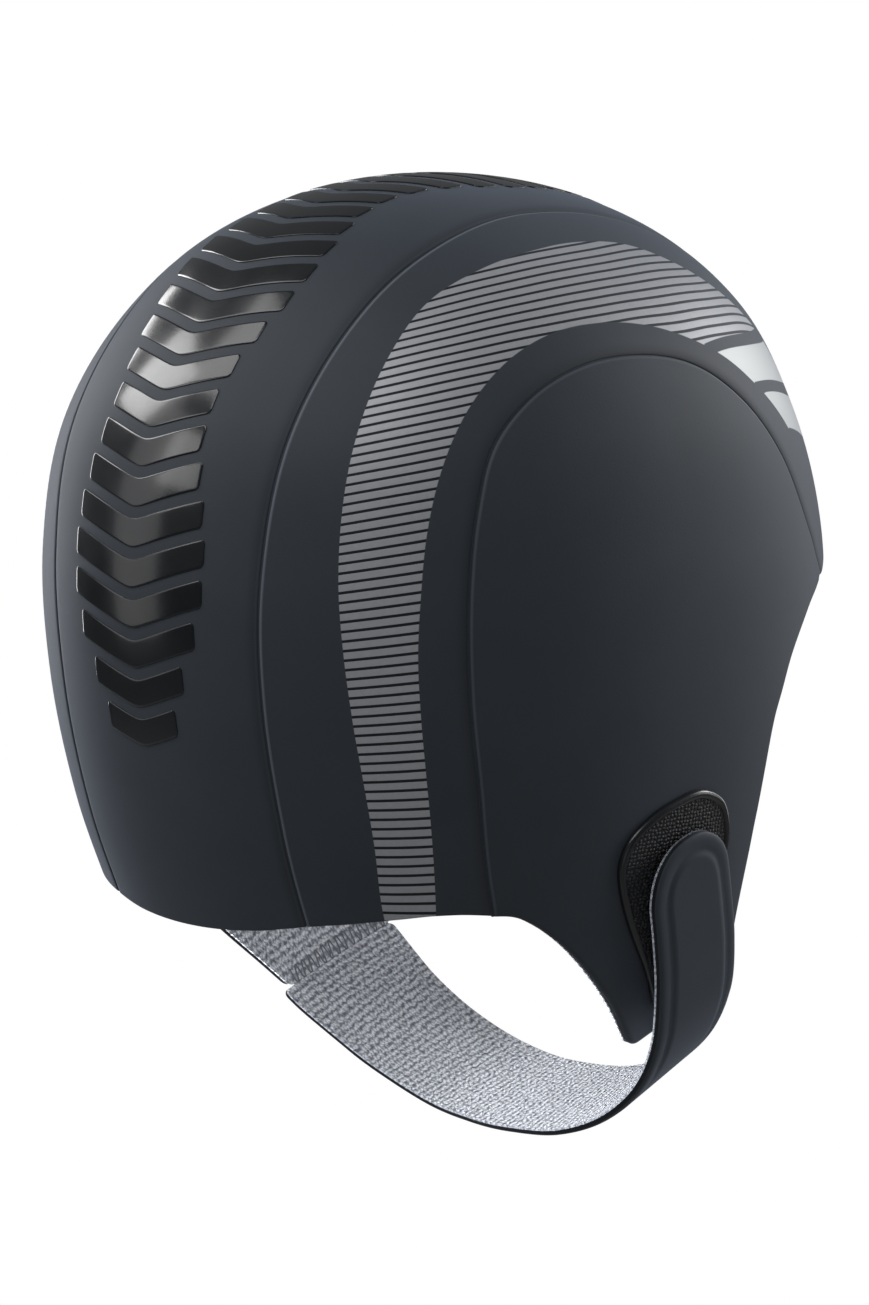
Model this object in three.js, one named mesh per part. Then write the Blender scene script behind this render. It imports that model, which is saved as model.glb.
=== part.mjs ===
// Swim cap of foam rubber sheet with ear flaps and a chin strap, in the shape that it has when worn.
//
// Frame, mm: +Z up. The wearer faces -Y, and the wearer's left is +X. The origin is the inside of the
// crown, where the cap rests on the top of the head.
//
// Every panel lies on one head surface. A place on it is named by two angles about the ear axis:
// around, 0 at the back, 90 straight up, 180 at the front and 270 down; and aside, 0 in the middle
// plane, 90 at the ear and negative on the wearer's right.
import * as THREE from "three";

// Sheets and gaps, mm
const SHEET = 3; // cap panels
const SEAM_GAP = 0.3; // between two pieces
const STRAP_SHEET = 1.8;
const LINING_SHEET = 0.5;
const EDGE_SETBACK = 1.9; // of the inner face from the free edges, which are trimmed to a slope
const STRAP_BEVEL = 1.5; // of the strap's outer face from its lining's edges
const TAPE_TOP = 1.2; // height of the hook tape above the flap
const BORDER_TOP = 1.6; // height of its raised border
const BORDER_WIDTH = 2.6;
const STRAP_SEAT = BORDER_TOP + SEAM_GAP; // height of the strap's lining above the flap at the pad
const BARE_SEAT = 0.5; // the same below the pad
const SEAT_SOFTNESS = 0.36; // of the turn between lying on the flap and standing free, mm2

// Outer surface of the head, one row for each level below the top of the cap, mm
const HEAD_LEVELS = [
  { down: 0, side: 0, front: 0, back: 0 },
  { down: 12, side: 41.5, front: 56, back: 51.5 },
  { down: 30, side: 63, front: 79.4, back: 72.7 },
  { down: 55, side: 76, front: 93.3, back: 89.8 },
  { down: 85, side: 81, front: 103.5, back: 95.8 },
  { down: 115, side: 80.6, front: 105.2, back: 94 },
  { down: 145, side: 77, front: 103, back: 87 },
  { down: 175, side: 70.5, front: 95, back: 75.4 },
  { down: 210, side: 63, front: 80, back: 65 },
  { down: 245, side: 56, front: 65, back: 55 },
];
const ROUNDNESS = 2.15; // exponent of each level's outline, where 2 is an ellipse
const EAR_Y = -10;
const EAR_Z = -107;

// Seam between crown panel and side panel
const CROWN_SEAM = [
  { around: -36, aside: 17.3 },
  { around: -20, aside: 18.5 },
  { around: 12, aside: 18.5 },
  { around: 30, aside: 18.4 },
  { around: 50, aside: 18.8 },
  { around: 63, aside: 19.1 },
  { around: 80, aside: 18.5 },
  { around: 110, aside: 18.6 },
  { around: 140, aside: 18.2 },
  { around: 168, aside: 17.5 },
];
// Free edge at the nape and at the brow, from the middle outwards
const NAPE_RIM = [
  { aside: 0, around: -34.3 },
  { aside: 10, around: -34.3 },
  { aside: 18, around: -34.5 },
  { aside: 24.3, around: -35.7 },
  { aside: 29.2, around: -37.2 },
  { aside: 33.8, around: -39.4 },
  { aside: 37.1, around: -42 },
  { aside: 40, around: -45.4 },
];
const BROW_RIM = [
  { aside: 0, around: 166.2 },
  { aside: 22, around: 165.8 },
  { aside: 39, around: 165.6 },
  { aside: 47, around: 166.9 },
];
// Seam round the ear panel in side view, from the nape rim over the ear to the brow rim, mm
const EAR_SEAM = [
  { y: 44, z: -161 },
  { y: 48, z: -149.4 },
  { y: 52, z: -132.7 },
  { y: 56.3, z: -109 },
  { y: 57.2, z: -87.5 },
  { y: 54.5, z: -69 },
  { y: 48.6, z: -54.4 },
  { y: 38.2, z: -44.8 },
  { y: 22.6, z: -38.1 },
  { y: 6, z: -36.2 },
  { y: -13, z: -38.7 },
  { y: -30, z: -47.5 },
  { y: -44, z: -60.8 },
  { y: -58.5, z: -81 },
  { y: -65.9, z: -90 },
  { y: -69.5, z: -93 },
];
// Edges of the flap in side view, mm: the back edge from the nape rim down, and the front edge from the
// flap's foot up to the brow rim
const FLAP_BACK_EDGE = [
  { y: 44, z: -161 },
  { y: 37.4, z: -162.3 },
  { y: 25.7, z: -169.9 },
  { y: 13.6, z: -180.7 },
  { y: 4.4, z: -189.4 },
];
const FLAP_FRONT_EDGE = [
  { y: -35.8, z: -169 },
  { y: -35.8, z: -155 },
  { y: -36.2, z: -145 },
  { y: -38.6, z: -126.2 },
  { y: -42.3, z: -117 },
  { y: -47.4, z: -108.2 },
  { y: -56.2, z: -99.8 },
  { y: -63.3, z: -95.8 },
  { y: -69.5, z: -93 },
];
// Foot of each flap: the right one ends under the strap's end, the left one runs on into the strap
const FLAP_FOOT = {
  right: { back: { y: -4, z: -198.4 }, front: { y: -36.4, z: -186.6 }, turn: 2.2 },
  left: { back: { y: -10.2, z: -202.8 }, front: { y: -43.6, z: -190.4 }, turn: 2.2 },
};
const FLAP_TUCK = { from: -176, to: -199, inward: 2.6 }; // the flaps turn inwards near the foot, mm

// Chin strap from the left flap, under the chin, to its round end on the right flap: the middle of its
// outer face, the slope of its width in side view in degrees, and its width
const STRAP_SECTIONS = [
  { x: 60.6, y: -26.6, z: -196.6, slope: 20, width: 36.8 },
  { x: 53, y: -30.5, z: -205.3, slope: 20, width: 36.2 },
  { x: 44.5, y: -33.8, z: -213.1, slope: 20, width: 35 },
  { x: 33.5, y: -36, z: -219.4, slope: 20, width: 33.5 },
  { x: 19, y: -36, z: -223.8, slope: 20, width: 32.5 },
  { x: 3, y: -33.3, z: -225, slope: 20, width: 31.2 },
  { x: -14.5, y: -29.2, z: -223.8, slope: 20.4, width: 30.8 },
  { x: -32, y: -25.8, z: -220.9, slope: 21, width: 30.4 },
  { x: -47.9, y: -23.3, z: -214.7, slope: 21.7, width: 30 },
  { x: -61, y: -20.9, z: -205, slope: 22.3, width: 29.6 },
  { x: -69.5, y: -17.8, z: -192.8, slope: 23, width: 29.2 },
  { x: -73.8, y: -14.2, z: -179.2, slope: 22, width: 28.4 },
  { x: -76.8, y: -9.4, z: -165.4, slope: 21, width: 27.6 },
  { x: -79.7, y: -3.8, z: -152.8, slope: 20, width: 26.8 },
  { x: -80.8, y: -1.2, z: -146.8, slope: 20, width: 26.4 },
];
const STRAP_END_LENGTH = 14; // of the round end, mm
const STRAP_START_BLEND = 22; // along the strap, where it takes over the flap's curve, mm
const STRAP_OVERLAP = 2.4; // of the strap's back corner past the flap's, mm

// Outline of the hook pad in side view, from its top round the back to its foot and up the front, mm
const PAD_OUTLINE = [
  { y: -8, z: -136 },
  { y: 2, z: -138 },
  { y: 8, z: -140.6 },
  { y: 13.6, z: -145 },
  { y: 15.6, z: -151 },
  { y: 13.6, z: -158 },
  { y: 8.2, z: -167.6 },
  { y: -0.4, z: -179.6 },
  { y: -6.2, z: -187.4 },
  { y: -10, z: -188.4 },
  { y: -13, z: -182 },
  { y: -17, z: -171 },
  { y: -21.2, z: -160 },
  { y: -22.3, z: -151 },
  { y: -20.5, z: -144 },
  { y: -16.5, z: -138.8 },
];

// How finely each piece is cut into cells
const CROWN_CELLS = { along: 54, across: 8 };
const SIDE_CELLS = { along: 54, across: 6 };
const EAR_RINGS = 6;
const EAR_SEAM_POINTS = 36;
const FLAP_EDGE_POINTS = 15;
const STRAP_CELLS_ACROSS = 5;
const PAD_POINTS = 40;

// Look of the pieces
const FOAM = { color: 0x3b4046, roughness: 0.72, metalness: 0 };
const KNIT = { color: 0x8d95a3, roughness: 0.95, metalness: 0 };
const TAPE = { color: 0x111214, roughness: 0.9, metalness: 0 };
const GLOSS = { color: 0x0b0c0e, roughness: 0.35, metalness: 0 };

const mix = (a, b, t) => a + (b - a) * t;
const degrees = THREE.MathUtils.radToDeg;
const radians = THREE.MathUtils.degToRad;
const smooth = (t) => THREE.MathUtils.smoothstep(t, 0, 1);

// Smooth curve through the rows: field as a function of key, with three-point slopes at the rows.
function curveThrough(keys, values) {
  const last = keys.length - 1;
  const step = keys.map((k, i) => (i < last ? keys[i + 1] - k : 0));
  const slope = keys.map((k, i) => (i < last ? (values[i + 1] - values[i]) / step[i] : 0));
  const at = keys.map((k, i) => {
    if (i === 0 || i === last) return 0;
    return (slope[i - 1] * step[i] + slope[i] * step[i - 1]) / (step[i - 1] + step[i]);
  });
  at[0] = 2 * slope[0] - at[1];
  at[last] = 2 * slope[last - 1] - at[last - 1];
  return (key) => {
    let i = 0;
    while (i < last - 1 && key > keys[i + 1]) i++;
    const t = (key - keys[i]) / step[i];
    const t2 = t * t;
    const t3 = t2 * t;
    return (
      (2 * t3 - 3 * t2 + 1) * values[i] +
      (t3 - 2 * t2 + t) * step[i] * at[i] +
      (3 * t2 - 2 * t3) * values[i + 1] +
      (t3 - t2) * step[i] * at[i + 1]
    );
  };
}

const column = (rows, name) => rows.map((row) => row[name]);
const downs = column(HEAD_LEVELS, "down");
const squared = (name) => curveThrough(downs, HEAD_LEVELS.map((row) => row[name] ** 2));
const sideSquared = squared("side");
const frontSquared = squared("front");
const backSquared = squared("back");

// Half widths of the head's outer surface at the height z.
function levelAt(z) {
  const down = Math.max(SHEET - z, 0);
  const root = (curve) => Math.sqrt(Math.max(curve(down), 1e-9));
  return { side: root(sideSquared), front: root(frontSquared), back: root(backSquared) };
}

// Below 1 inside the head's outer surface, above 1 outside.
function headValue(p) {
  if (p.z >= SHEET) return 10 + Math.hypot(p.x, p.y);
  const level = levelAt(p.z);
  const reach = p.y < 0 ? level.front : level.back;
  return Math.abs(p.x / level.side) ** ROUNDNESS + Math.abs(p.y / reach) ** ROUNDNESS;
}

// Outward normal of the head's surface through p. At the very top, where the levels shrink to a point,
// it is straight up.
function headNormal(p) {
  const h = 0.05;
  const z = Math.min(p.z, SHEET - 0.2);
  const at = (dx, dy, dz) => headValue(new THREE.Vector3(p.x + dx, p.y + dy, z + dz));
  const n = new THREE.Vector3(
    at(h, 0, 0) - at(-h, 0, 0),
    at(0, h, 0) - at(0, -h, 0),
    at(0, 0, h) - at(0, 0, -h),
  );
  return n.length() > 1e-9 ? n.normalize() : n.set(0, 0, 1);
}

// Place on the head's outer surface, found by halving along the ray from the ear axis.
function onHead(around, aside) {
  const a = radians(around);
  const s = radians(aside);
  const ray = new THREE.Vector3(
    Math.sin(s),
    Math.cos(s) * Math.cos(a),
    Math.cos(s) * Math.sin(a),
  );
  const start = new THREE.Vector3(0, EAR_Y, EAR_Z);
  const p = new THREE.Vector3();
  let near = 5;
  let far = 260;
  for (let i = 0; i < 40; i++) {
    const middle = (near + far) / 2;
    if (headValue(p.copy(start).addScaledVector(ray, middle)) > 1) far = middle;
    else near = middle;
  }
  return p.copy(start).addScaledVector(ray, (near + far) / 2);
}

// Place on the wearer's left half of the surface from its side view.
function fromSideView(y, z) {
  const level = levelAt(z);
  const reach = y < 0 ? level.front : level.back;
  const share = Math.max(1 - Math.abs(y / reach) ** ROUNDNESS, 0);
  return new THREE.Vector3(level.side * share ** (1 / ROUNDNESS), y, z);
}

// The two angles of a point, with around between -90 and 270.
function anglesOf(p) {
  const dy = p.y - EAR_Y;
  const dz = p.z - EAR_Z;
  let around = degrees(Math.atan2(dz, dy));
  if (around < -90) around += 360;
  return { around, aside: degrees(Math.atan2(Math.abs(p.x), Math.hypot(dy, dz))) };
}

const crownSeam = curveThrough(column(CROWN_SEAM, "around"), column(CROWN_SEAM, "aside"));
const rimCurve = (rows) => {
  const other = rows.slice(1).reverse();
  const both = [...other.map((row) => ({ ...row, aside: -row.aside })), ...rows];
  return curveThrough(column(both, "aside"), column(both, "around"));
};
const napeRim = rimCurve(NAPE_RIM);
const browRim = rimCurve(BROW_RIM);
const earSeamRows = EAR_SEAM.map((row) => anglesOf(fromSideView(row.y, row.z)));
const earSeam = curveThrough(column(earSeamRows, "around"), column(earSeamRows, "aside"));
const HALF_GAP = degrees((SEAM_GAP * 0.62) / 95); // half a seam's gap as an angle at the ear axis

// Ends of a line along the cap, where its aside angle meets the two rims.
function rimsOf(asideAt) {
  let nape = -38;
  let brow = 166;
  for (let i = 0; i < 20; i++) {
    nape = napeRim(asideAt(nape));
    brow = browRim(asideAt(brow));
  }
  return { nape, brow };
}

// Closed body between an outer and an inner grid of points, walled round its edge.
function bodyFromGrids(outer, inner) {
  const rows = outer.length;
  const cols = outer[0].length;
  const points = [...outer.flat(), ...inner.flat()];
  const half = rows * cols;
  const faces = [];
  const quad = (a, b, c, d) => faces.push(a, b, c, a, c, d);
  for (let i = 0; i < rows - 1; i++) {
    for (let j = 0; j < cols - 1; j++) {
      const a = i * cols + j;
      quad(a, a + 1, a + cols + 1, a + cols);
      quad(half + a, half + a + cols, half + a + cols + 1, half + a + 1);
    }
  }
  for (let i = 0; i < rows - 1; i++) {
    const a = i * cols;
    const b = a + cols - 1;
    quad(a, a + cols, half + a + cols, half + a);
    quad(b + cols, b, half + b, half + b + cols);
  }
  for (let j = 0; j < cols - 1; j++) {
    const b = (rows - 1) * cols + j;
    quad(j + 1, j, half + j, half + j + 1);
    quad(b, b + 1, half + b + 1, half + b);
  }
  return closedGeometry(points, faces);
}

// Closed body between two fans: each has a middle point and rings of points, from the middle outwards.
function bodyFromFans(outer, inner) {
  const count = outer.rings[0].length;
  const points = [outer.middle, ...outer.rings.flat(), inner.middle, ...inner.rings.flat()];
  const half = points.length / 2;
  const faces = [];
  const at = (side, ring, k) => side * half + 1 + ring * count + (k % count);
  for (let k = 0; k < count; k++) {
    faces.push(0, at(0, 0, k), at(0, 0, k + 1));
    faces.push(half, at(1, 0, k + 1), at(1, 0, k));
    for (let r = 0; r < outer.rings.length - 1; r++) {
      const [a, b, c, d] = [at(0, r, k), at(0, r + 1, k), at(0, r + 1, k + 1), at(0, r, k + 1)];
      faces.push(a, b, c, a, c, d);
      faces.push(a + half, c + half, b + half, a + half, d + half, c + half);
    }
    const rim = outer.rings.length - 1;
    const [a, b] = [at(0, rim, k), at(0, rim, k + 1)];
    faces.push(a, a + half, b + half, a, b + half, b);
  }
  return closedGeometry(points, faces);
}

// Geometry of the points and faces, turned so that its faces look outwards.
function closedGeometry(points, faces) {
  let volume = 0;
  const cross = new THREE.Vector3();
  for (let i = 0; i < faces.length; i += 3) {
    cross.crossVectors(points[faces[i + 1]], points[faces[i + 2]]);
    volume += points[faces[i]].dot(cross);
  }
  if (volume < 0) {
    for (let i = 0; i < faces.length; i += 3) {
      [faces[i + 1], faces[i + 2]] = [faces[i + 2], faces[i + 1]];
    }
  }
  const geometry = new THREE.BufferGeometry().setFromPoints(points);
  geometry.setIndex(faces);
  geometry.computeVertexNormals();
  return geometry;
}

const inwards = (p) => p.clone().addScaledVector(headNormal(p), -SHEET);
const outwards = (p, height) => p.clone().addScaledVector(headNormal(p), height);
const mirrored = (p, hand) => new THREE.Vector3(p.x * hand, p.y, p.z);

// Grid of one face of a strip that runs from the nape rim over the head to the brow rim. asideAt gives
// its aside angle at a share of its width, and setback shortens it at both rims.
function stripGrid(cells, asideAt, setback) {
  const grid = [];
  const back = degrees(setback / 100);
  for (let i = 0; i <= cells.along; i++) {
    const row = [];
    for (let j = 0; j <= cells.across; j++) {
      const line = (around) => asideAt(around, j / cells.across);
      const { nape, brow } = rimsOf(line);
      const around = mix(nape + back, brow - back, i / cells.along);
      row.push(onHead(around, line(around)));
    }
    grid.push(row);
  }
  return grid;
}

// Crown panel, between the two crown seams.
function crownPanel() {
  const asideAt = (around, share) => (2 * share - 1) * (crownSeam(around) - HALF_GAP);
  const outer = stripGrid(CROWN_CELLS, asideAt, 0);
  const inner = stripGrid(CROWN_CELLS, asideAt, EDGE_SETBACK);
  return bodyFromGrids(outer, inner.map((row) => row.map(inwards)));
}

// Side panel, between the crown seam and the ear seam.
function sidePanel(hand) {
  const asideAt = (around, share) => {
    return hand * mix(crownSeam(around) + HALF_GAP, earSeam(around) - HALF_GAP, share);
  };
  const outer = stripGrid(SIDE_CELLS, asideAt, 0);
  const inner = stripGrid(SIDE_CELLS, asideAt, EDGE_SETBACK);
  return bodyFromGrids(outer, inner.map((row) => row.map(inwards)));
}

// Side-view outline of the flap from the nape rim to the brow rim, with a straight foot whose two
// corners are turned, moved into the panel by a setback.
function flapOutline(foot, setback) {
  const back = new THREE.Vector2(foot.back.y, foot.back.z);
  const front = new THREE.Vector2(foot.front.y, foot.front.z);
  const alongFoot = front.clone().sub(back).normalize();
  const plane = (rows) => rows.map((row) => new THREE.Vector2(row.y, row.z));
  const upper = plane(FLAP_BACK_EDGE);
  const backStart = upper[upper.length - 1];
  const backWay = back.clone().sub(backStart).normalize();
  const nearBack = back.clone().addScaledVector(backWay, -foot.turn);
  const backEdge = new THREE.SplineCurve([...upper, nearBack]).getPoints(FLAP_EDGE_POINTS);
  const backCorner = new THREE.QuadraticBezierCurve(
    nearBack,
    back,
    back.clone().addScaledVector(alongFoot, foot.turn),
  ).getPoints(3);
  const lower = plane(FLAP_FRONT_EDGE);
  const frontWay = front.clone().sub(lower[0]).normalize();
  const nearFront = front.clone().addScaledVector(frontWay, -foot.turn);
  const frontCorner = new THREE.QuadraticBezierCurve(
    front.clone().addScaledVector(alongFoot, -foot.turn),
    front,
    nearFront,
  ).getPoints(3);
  const frontEdge = new THREE.SplineCurve([nearFront, ...lower]).getPoints(FLAP_EDGE_POINTS);
  const footLine = [];
  for (let i = 1; i < 6; i++) {
    footLine.push(backCorner[3].clone().lerp(frontCorner[0], i / 6));
  }
  const line = [...backEdge, ...backCorner.slice(1), ...footLine, ...frontCorner, ...frontEdge.slice(1)];
  return line.map((p, i) => {
    const next = line[Math.min(i + 1, line.length - 1)];
    const before = line[Math.max(i - 1, 0)];
    const way = next.clone().sub(before).normalize();
    return new THREE.Vector2(p.x + way.y * setback, p.y - way.x * setback);
  });
}

// How far the flap turns inwards at the height z.
function tuckAt(z) {
  return FLAP_TUCK.inward * smooth((z - FLAP_TUCK.from) / (FLAP_TUCK.to - FLAP_TUCK.from));
}

// Moves a point of a flap inwards with the flap's turn.
const tucked = (p) => p.clone().setX(p.x - Math.sign(p.x) * tuckAt(p.z));

// Rings between the ear and the outline of the ear panel, which is the ear seam above and the flap's
// edges below.
function earRings(hand, setback) {
  const outline = [];
  const first = earSeamRows[0].around;
  const last = earSeamRows[earSeamRows.length - 1].around;
  for (let i = 0; i < EAR_SEAM_POINTS; i++) {
    const around = mix(last, first, i / EAR_SEAM_POINTS);
    outline.push({ around, aside: earSeam(around) + HALF_GAP });
  }
  const flap = flapOutline(hand > 0 ? FLAP_FOOT.left : FLAP_FOOT.right, setback);
  for (const point of flap.slice(0, -1)) outline.push(anglesOf(fromSideView(point.x, point.y)));
  outline[EAR_SEAM_POINTS].aside += HALF_GAP;
  const rings = [];
  for (let r = 1; r <= EAR_RINGS; r++) {
    rings.push(outline.map((place) => onHead(place.around, mix(90, place.aside, r / EAR_RINGS))));
  }
  return rings.map((ring) => ring.map((p) => mirrored(p, hand)));
}

// Ear panel with its flap.
function earPanel(hand) {
  const middle = mirrored(onHead(0, 90), hand);
  const outer = earRings(hand, 0);
  const inner = earRings(hand, EDGE_SETBACK);
  return bodyFromFans(
    { middle, rings: outer.map((ring) => ring.map(tucked)) },
    { middle: inwards(middle), rings: inner.map((ring) => ring.map((p) => tucked(inwards(p)))) },
  );
}

// Smooth curve of one field of the strap's table, over the row number.
const strapRow = STRAP_SECTIONS.map((row, i) => i);
const strapField = Object.fromEntries(
  Object.keys(STRAP_SECTIONS[0]).map((name) => {
    return [name, curveThrough(strapRow, column(STRAP_SECTIONS, name))];
  }),
);

// Middle line of the strap at a row number, which need not be whole.
function strapMiddle(row) {
  return new THREE.Vector3(strapField.x(row), strapField.y(row), strapField.z(row));
}

// Row numbers of the strap's cross-sections with the length run so far, close together at both ends.
function strapStations() {
  const fine = 600;
  const rows = [];
  const lengths = [0];
  const top = STRAP_SECTIONS.length - 1;
  for (let i = 0; i <= fine; i++) {
    rows.push((top * i) / fine);
    if (i > 0) lengths.push(lengths[i - 1] + strapMiddle(rows[i]).distanceTo(strapMiddle(rows[i - 1])));
  }
  const whole = lengths[fine];
  const wanted = [SEAM_GAP, 1, 2.4];
  const even = 38;
  const from = 5;
  const to = whole - STRAP_END_LENGTH;
  for (let i = 0; i <= even; i++) wanted.push(mix(from, to, i / even));
  for (const back of [10.6, 8, 5.6, 3.4, 1.6, 0.5]) wanted.push(whole - back);
  return wanted.map((length) => {
    let i = 0;
    while (i < fine - 1 && lengths[i + 1] < length) i++;
    const t = (length - lengths[i]) / (lengths[i + 1] - lengths[i]);
    return { row: mix(rows[i], rows[i + 1], t), length, left: whole - length };
  });
}

// Half width of the strap, which is round at its end and turned at the corner beside the flap.
function strapHalfWidth(station, share) {
  const half = strapField.width(station.row) / 2;
  const toEnd = Math.min(station.left / STRAP_END_LENGTH, 1);
  const round = (1 - (1 - toEnd) ** 2.1) ** (1 / 2.1);
  const corner = Math.max(2.4 - station.length, 0) / 2.4;
  const turned = share < 0 ? 0.8 * (1 - Math.sqrt(1 - corner * corner)) : 0;
  return half * round - turned;
}

// Grid of the strap's innermost face: it starts along the foot of the left flap, swings freely under
// the chin, and lies on the hook pad at the right.
function strapSeat() {
  const foot = FLAP_FOOT.left;
  const across = STRAP_CELLS_ACROSS;
  const stations = strapStations();
  const total = STRAP_SHEET + SEAM_GAP + LINING_SHEET;
  const frameAt = (row) => {
    const h = 0.02;
    const ahead = strapMiddle(row + h).sub(strapMiddle(row - h)).normalize();
    const slope = radians(strapField.slope(row));
    const wide = new THREE.Vector3(0, -Math.cos(slope), Math.sin(slope));
    wide.addScaledVector(ahead, -wide.dot(ahead)).normalize();
    const out = new THREE.Vector3().crossVectors(wide, ahead).normalize();
    return { wide, out };
  };
  const first = frameAt(0);
  return stations.map((station) => {
    const { wide, out } = frameAt(station.row);
    const row = [];
    for (let j = 0; j <= across; j++) {
      const share = (2 * j) / across - 1;
      const half = strapHalfWidth(station, share);
      const p = strapMiddle(station.row).addScaledVector(wide, share * half);
      p.addScaledVector(out, -total);
      const start = strapMiddle(0).addScaledVector(first.wide, (share * strapField.width(0)) / 2);
      start.addScaledVector(first.out, -total);
      const t = mix(-STRAP_OVERLAP / strapField.width(0), 1, (share + 1) / 2);
      const footPoint = fromSideView(mix(foot.back.y, foot.front.y, t), mix(foot.back.z, foot.front.z, t));
      const flapPoint = tucked(inwards(footPoint));
      const blend = 1 - smooth(station.length / STRAP_START_BLEND);
      p.addScaledVector(flapPoint.sub(start), blend);
      row.push(p.x < 0 ? seatedOnFlap(p) : p);
    }
    return row;
  });
}

// Moves a point outwards until it lies at the strap's seat above the right flap or higher. The seat is
// high over the hook pad and low over the bare foot of the flap, and it fades out below the foot.
function seatedOnFlap(p) {
  const foot = FLAP_FOOT.right;
  const rise = (foot.front.z - foot.back.z) / (foot.front.y - foot.back.y);
  const overFoot = p.z - foot.back.z - rise * (p.y - foot.back.y);
  const weight = smooth((overFoot + 7) / 8);
  const seat = mix(BARE_SEAT, STRAP_SEAT, smooth((overFoot - 2) / 12));
  const q = p.clone().setX(p.x - tuckAt(p.z));
  const n = headNormal(q);
  const h = 0.1;
  const steep = (headValue(q.clone().addScaledVector(n, h)) - headValue(q)) / h;
  const height = (headValue(q) - 1) / steep;
  const over = height - seat;
  const wanted = seat + (over + Math.sqrt(over * over + SEAT_SOFTNESS)) / 2;
  return p.clone().addScaledVector(n, (wanted - height) * weight);
}

// The strap's grid with each row drawn in by an inset at both ends of its width.
function narrowed(grid, inset) {
  return grid.map((row) => {
    const [first, last] = [row[0], row[row.length - 1]];
    const width = first.distanceTo(last);
    const middle = first.clone().lerp(last, 0.5);
    const scale = Math.max(1 - (2 * inset) / width, 0.3);
    return row.map((p) => p.clone().sub(middle).multiplyScalar(scale).add(middle));
  });
}

// The grid moved outwards along its own normals by a height.
function raised(grid, height) {
  const rows = grid.length;
  const cols = grid[0].length;
  return grid.map((row, i) => {
    return row.map((p, j) => {
      const along = grid[Math.min(i + 1, rows - 1)][j].clone().sub(grid[Math.max(i - 1, 0)][j]);
      const over = row[Math.min(j + 1, cols - 1)].clone().sub(row[Math.max(j - 1, 0)]);
      const n = over.cross(along).normalize();
      return p.clone().addScaledVector(n, height);
    });
  });
}

// Closed hook pad outline in side view, moved inwards by an inset.
function padOutline(inset) {
  const points = PAD_OUTLINE.map((row) => new THREE.Vector2(row.y, row.z));
  const curve = new THREE.CatmullRomCurve3(points.map((p) => new THREE.Vector3(p.x, p.y, 0)), true);
  const places = curve.getSpacedPoints(PAD_POINTS).slice(0, -1);
  return places.map((p, i) => {
    const next = places[(i + 1) % PAD_POINTS];
    const before = places[(i + PAD_POINTS - 1) % PAD_POINTS];
    const way = next.clone().sub(before).normalize();
    return new THREE.Vector2(p.x + way.y * inset, p.y - way.x * inset);
  });
}

// Place above the right flap from its side view.
function overRightFlap(p, height) {
  return tucked(outwards(mirrored(fromSideView(p.x, p.y), -1), height));
}

// Hook tape: rings between its middle and its outline, on the outside of the right flap.
function hookPad() {
  const outline = padOutline(BORDER_WIDTH + SEAM_GAP);
  const middle = new THREE.Vector2(-5.5, -153);
  const layer = (height) => ({
    middle: overRightFlap(middle, height),
    rings: [0.3, 0.65, 1].map((share) => {
      return outline.map((p) => overRightFlap(middle.clone().lerp(p, share), height));
    }),
  });
  return bodyFromFans(layer(TAPE_TOP), layer(SEAM_GAP));
}

// Raised border round the hook tape, a closed band of four sides.
function hookPadBorder() {
  const outside = padOutline(0);
  const inside = padOutline(BORDER_WIDTH);
  const count = outside.length;
  const points = [];
  for (const [line, height] of [
    [outside, SEAM_GAP],
    [outside, BORDER_TOP],
    [inside, BORDER_TOP],
    [inside, SEAM_GAP],
  ]) {
    for (const p of line) points.push(overRightFlap(p, height));
  }
  const faces = [];
  for (let side = 0; side < 4; side++) {
    for (let k = 0; k < count; k++) {
      const a = side * count + k;
      const b = side * count + ((k + 1) % count);
      const c = ((side + 1) % 4) * count + ((k + 1) % count);
      const d = ((side + 1) % 4) * count + k;
      faces.push(a, b, c, a, c, d);
    }
  }
  return closedGeometry(points, faces);
}

function named(name, geometry, look) {
  const mesh = new THREE.Mesh(geometry, new THREE.MeshStandardMaterial(look));
  mesh.name = name;
  return mesh;
}

const seat = strapSeat();
const liningTop = raised(seat, LINING_SHEET);
const strapInside = raised(seat, LINING_SHEET + SEAM_GAP);
const strapOutside = narrowed(raised(seat, LINING_SHEET + SEAM_GAP + STRAP_SHEET), STRAP_BEVEL);

const cap = new THREE.Group();
cap.add(named("crown_panel", crownPanel(), FOAM));
cap.add(named("side_panel_left", sidePanel(1), FOAM));
cap.add(named("side_panel_right", sidePanel(-1), FOAM));
cap.add(named("ear_panel_left", earPanel(1), FOAM));
cap.add(named("ear_panel_right", earPanel(-1), FOAM));
cap.add(named("chin_strap", bodyFromGrids(strapOutside, strapInside), FOAM));
cap.add(named("strap_lining", bodyFromGrids(liningTop, seat), KNIT));
cap.add(named("hook_pad", hookPad(), TAPE));
cap.add(named("hook_pad_border", hookPadBorder(), GLOSS));

export default cap;
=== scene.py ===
"""Swim cap of foam rubber sheet with ear flaps and a chin strap, in the shape that it has when worn.

Frame: +Z up, the wearer faces -Y and the wearer's left is +X. The origin is the inside of the crown.
Sizes below are in millimetres; a mesh is written in metres.

Every panel lies on one head surface, and a place on it is named by two angles about the ear axis:
around, 0 at the back, 90 straight up, 180 at the front and 270 down; and aside, 0 in the middle plane,
90 at the wearer's left ear and -90 at the right one.
"""

import logging
from collections.abc import Callable, Sequence
from dataclasses import dataclass, field
from enum import Enum
from math import pi, radians

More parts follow.
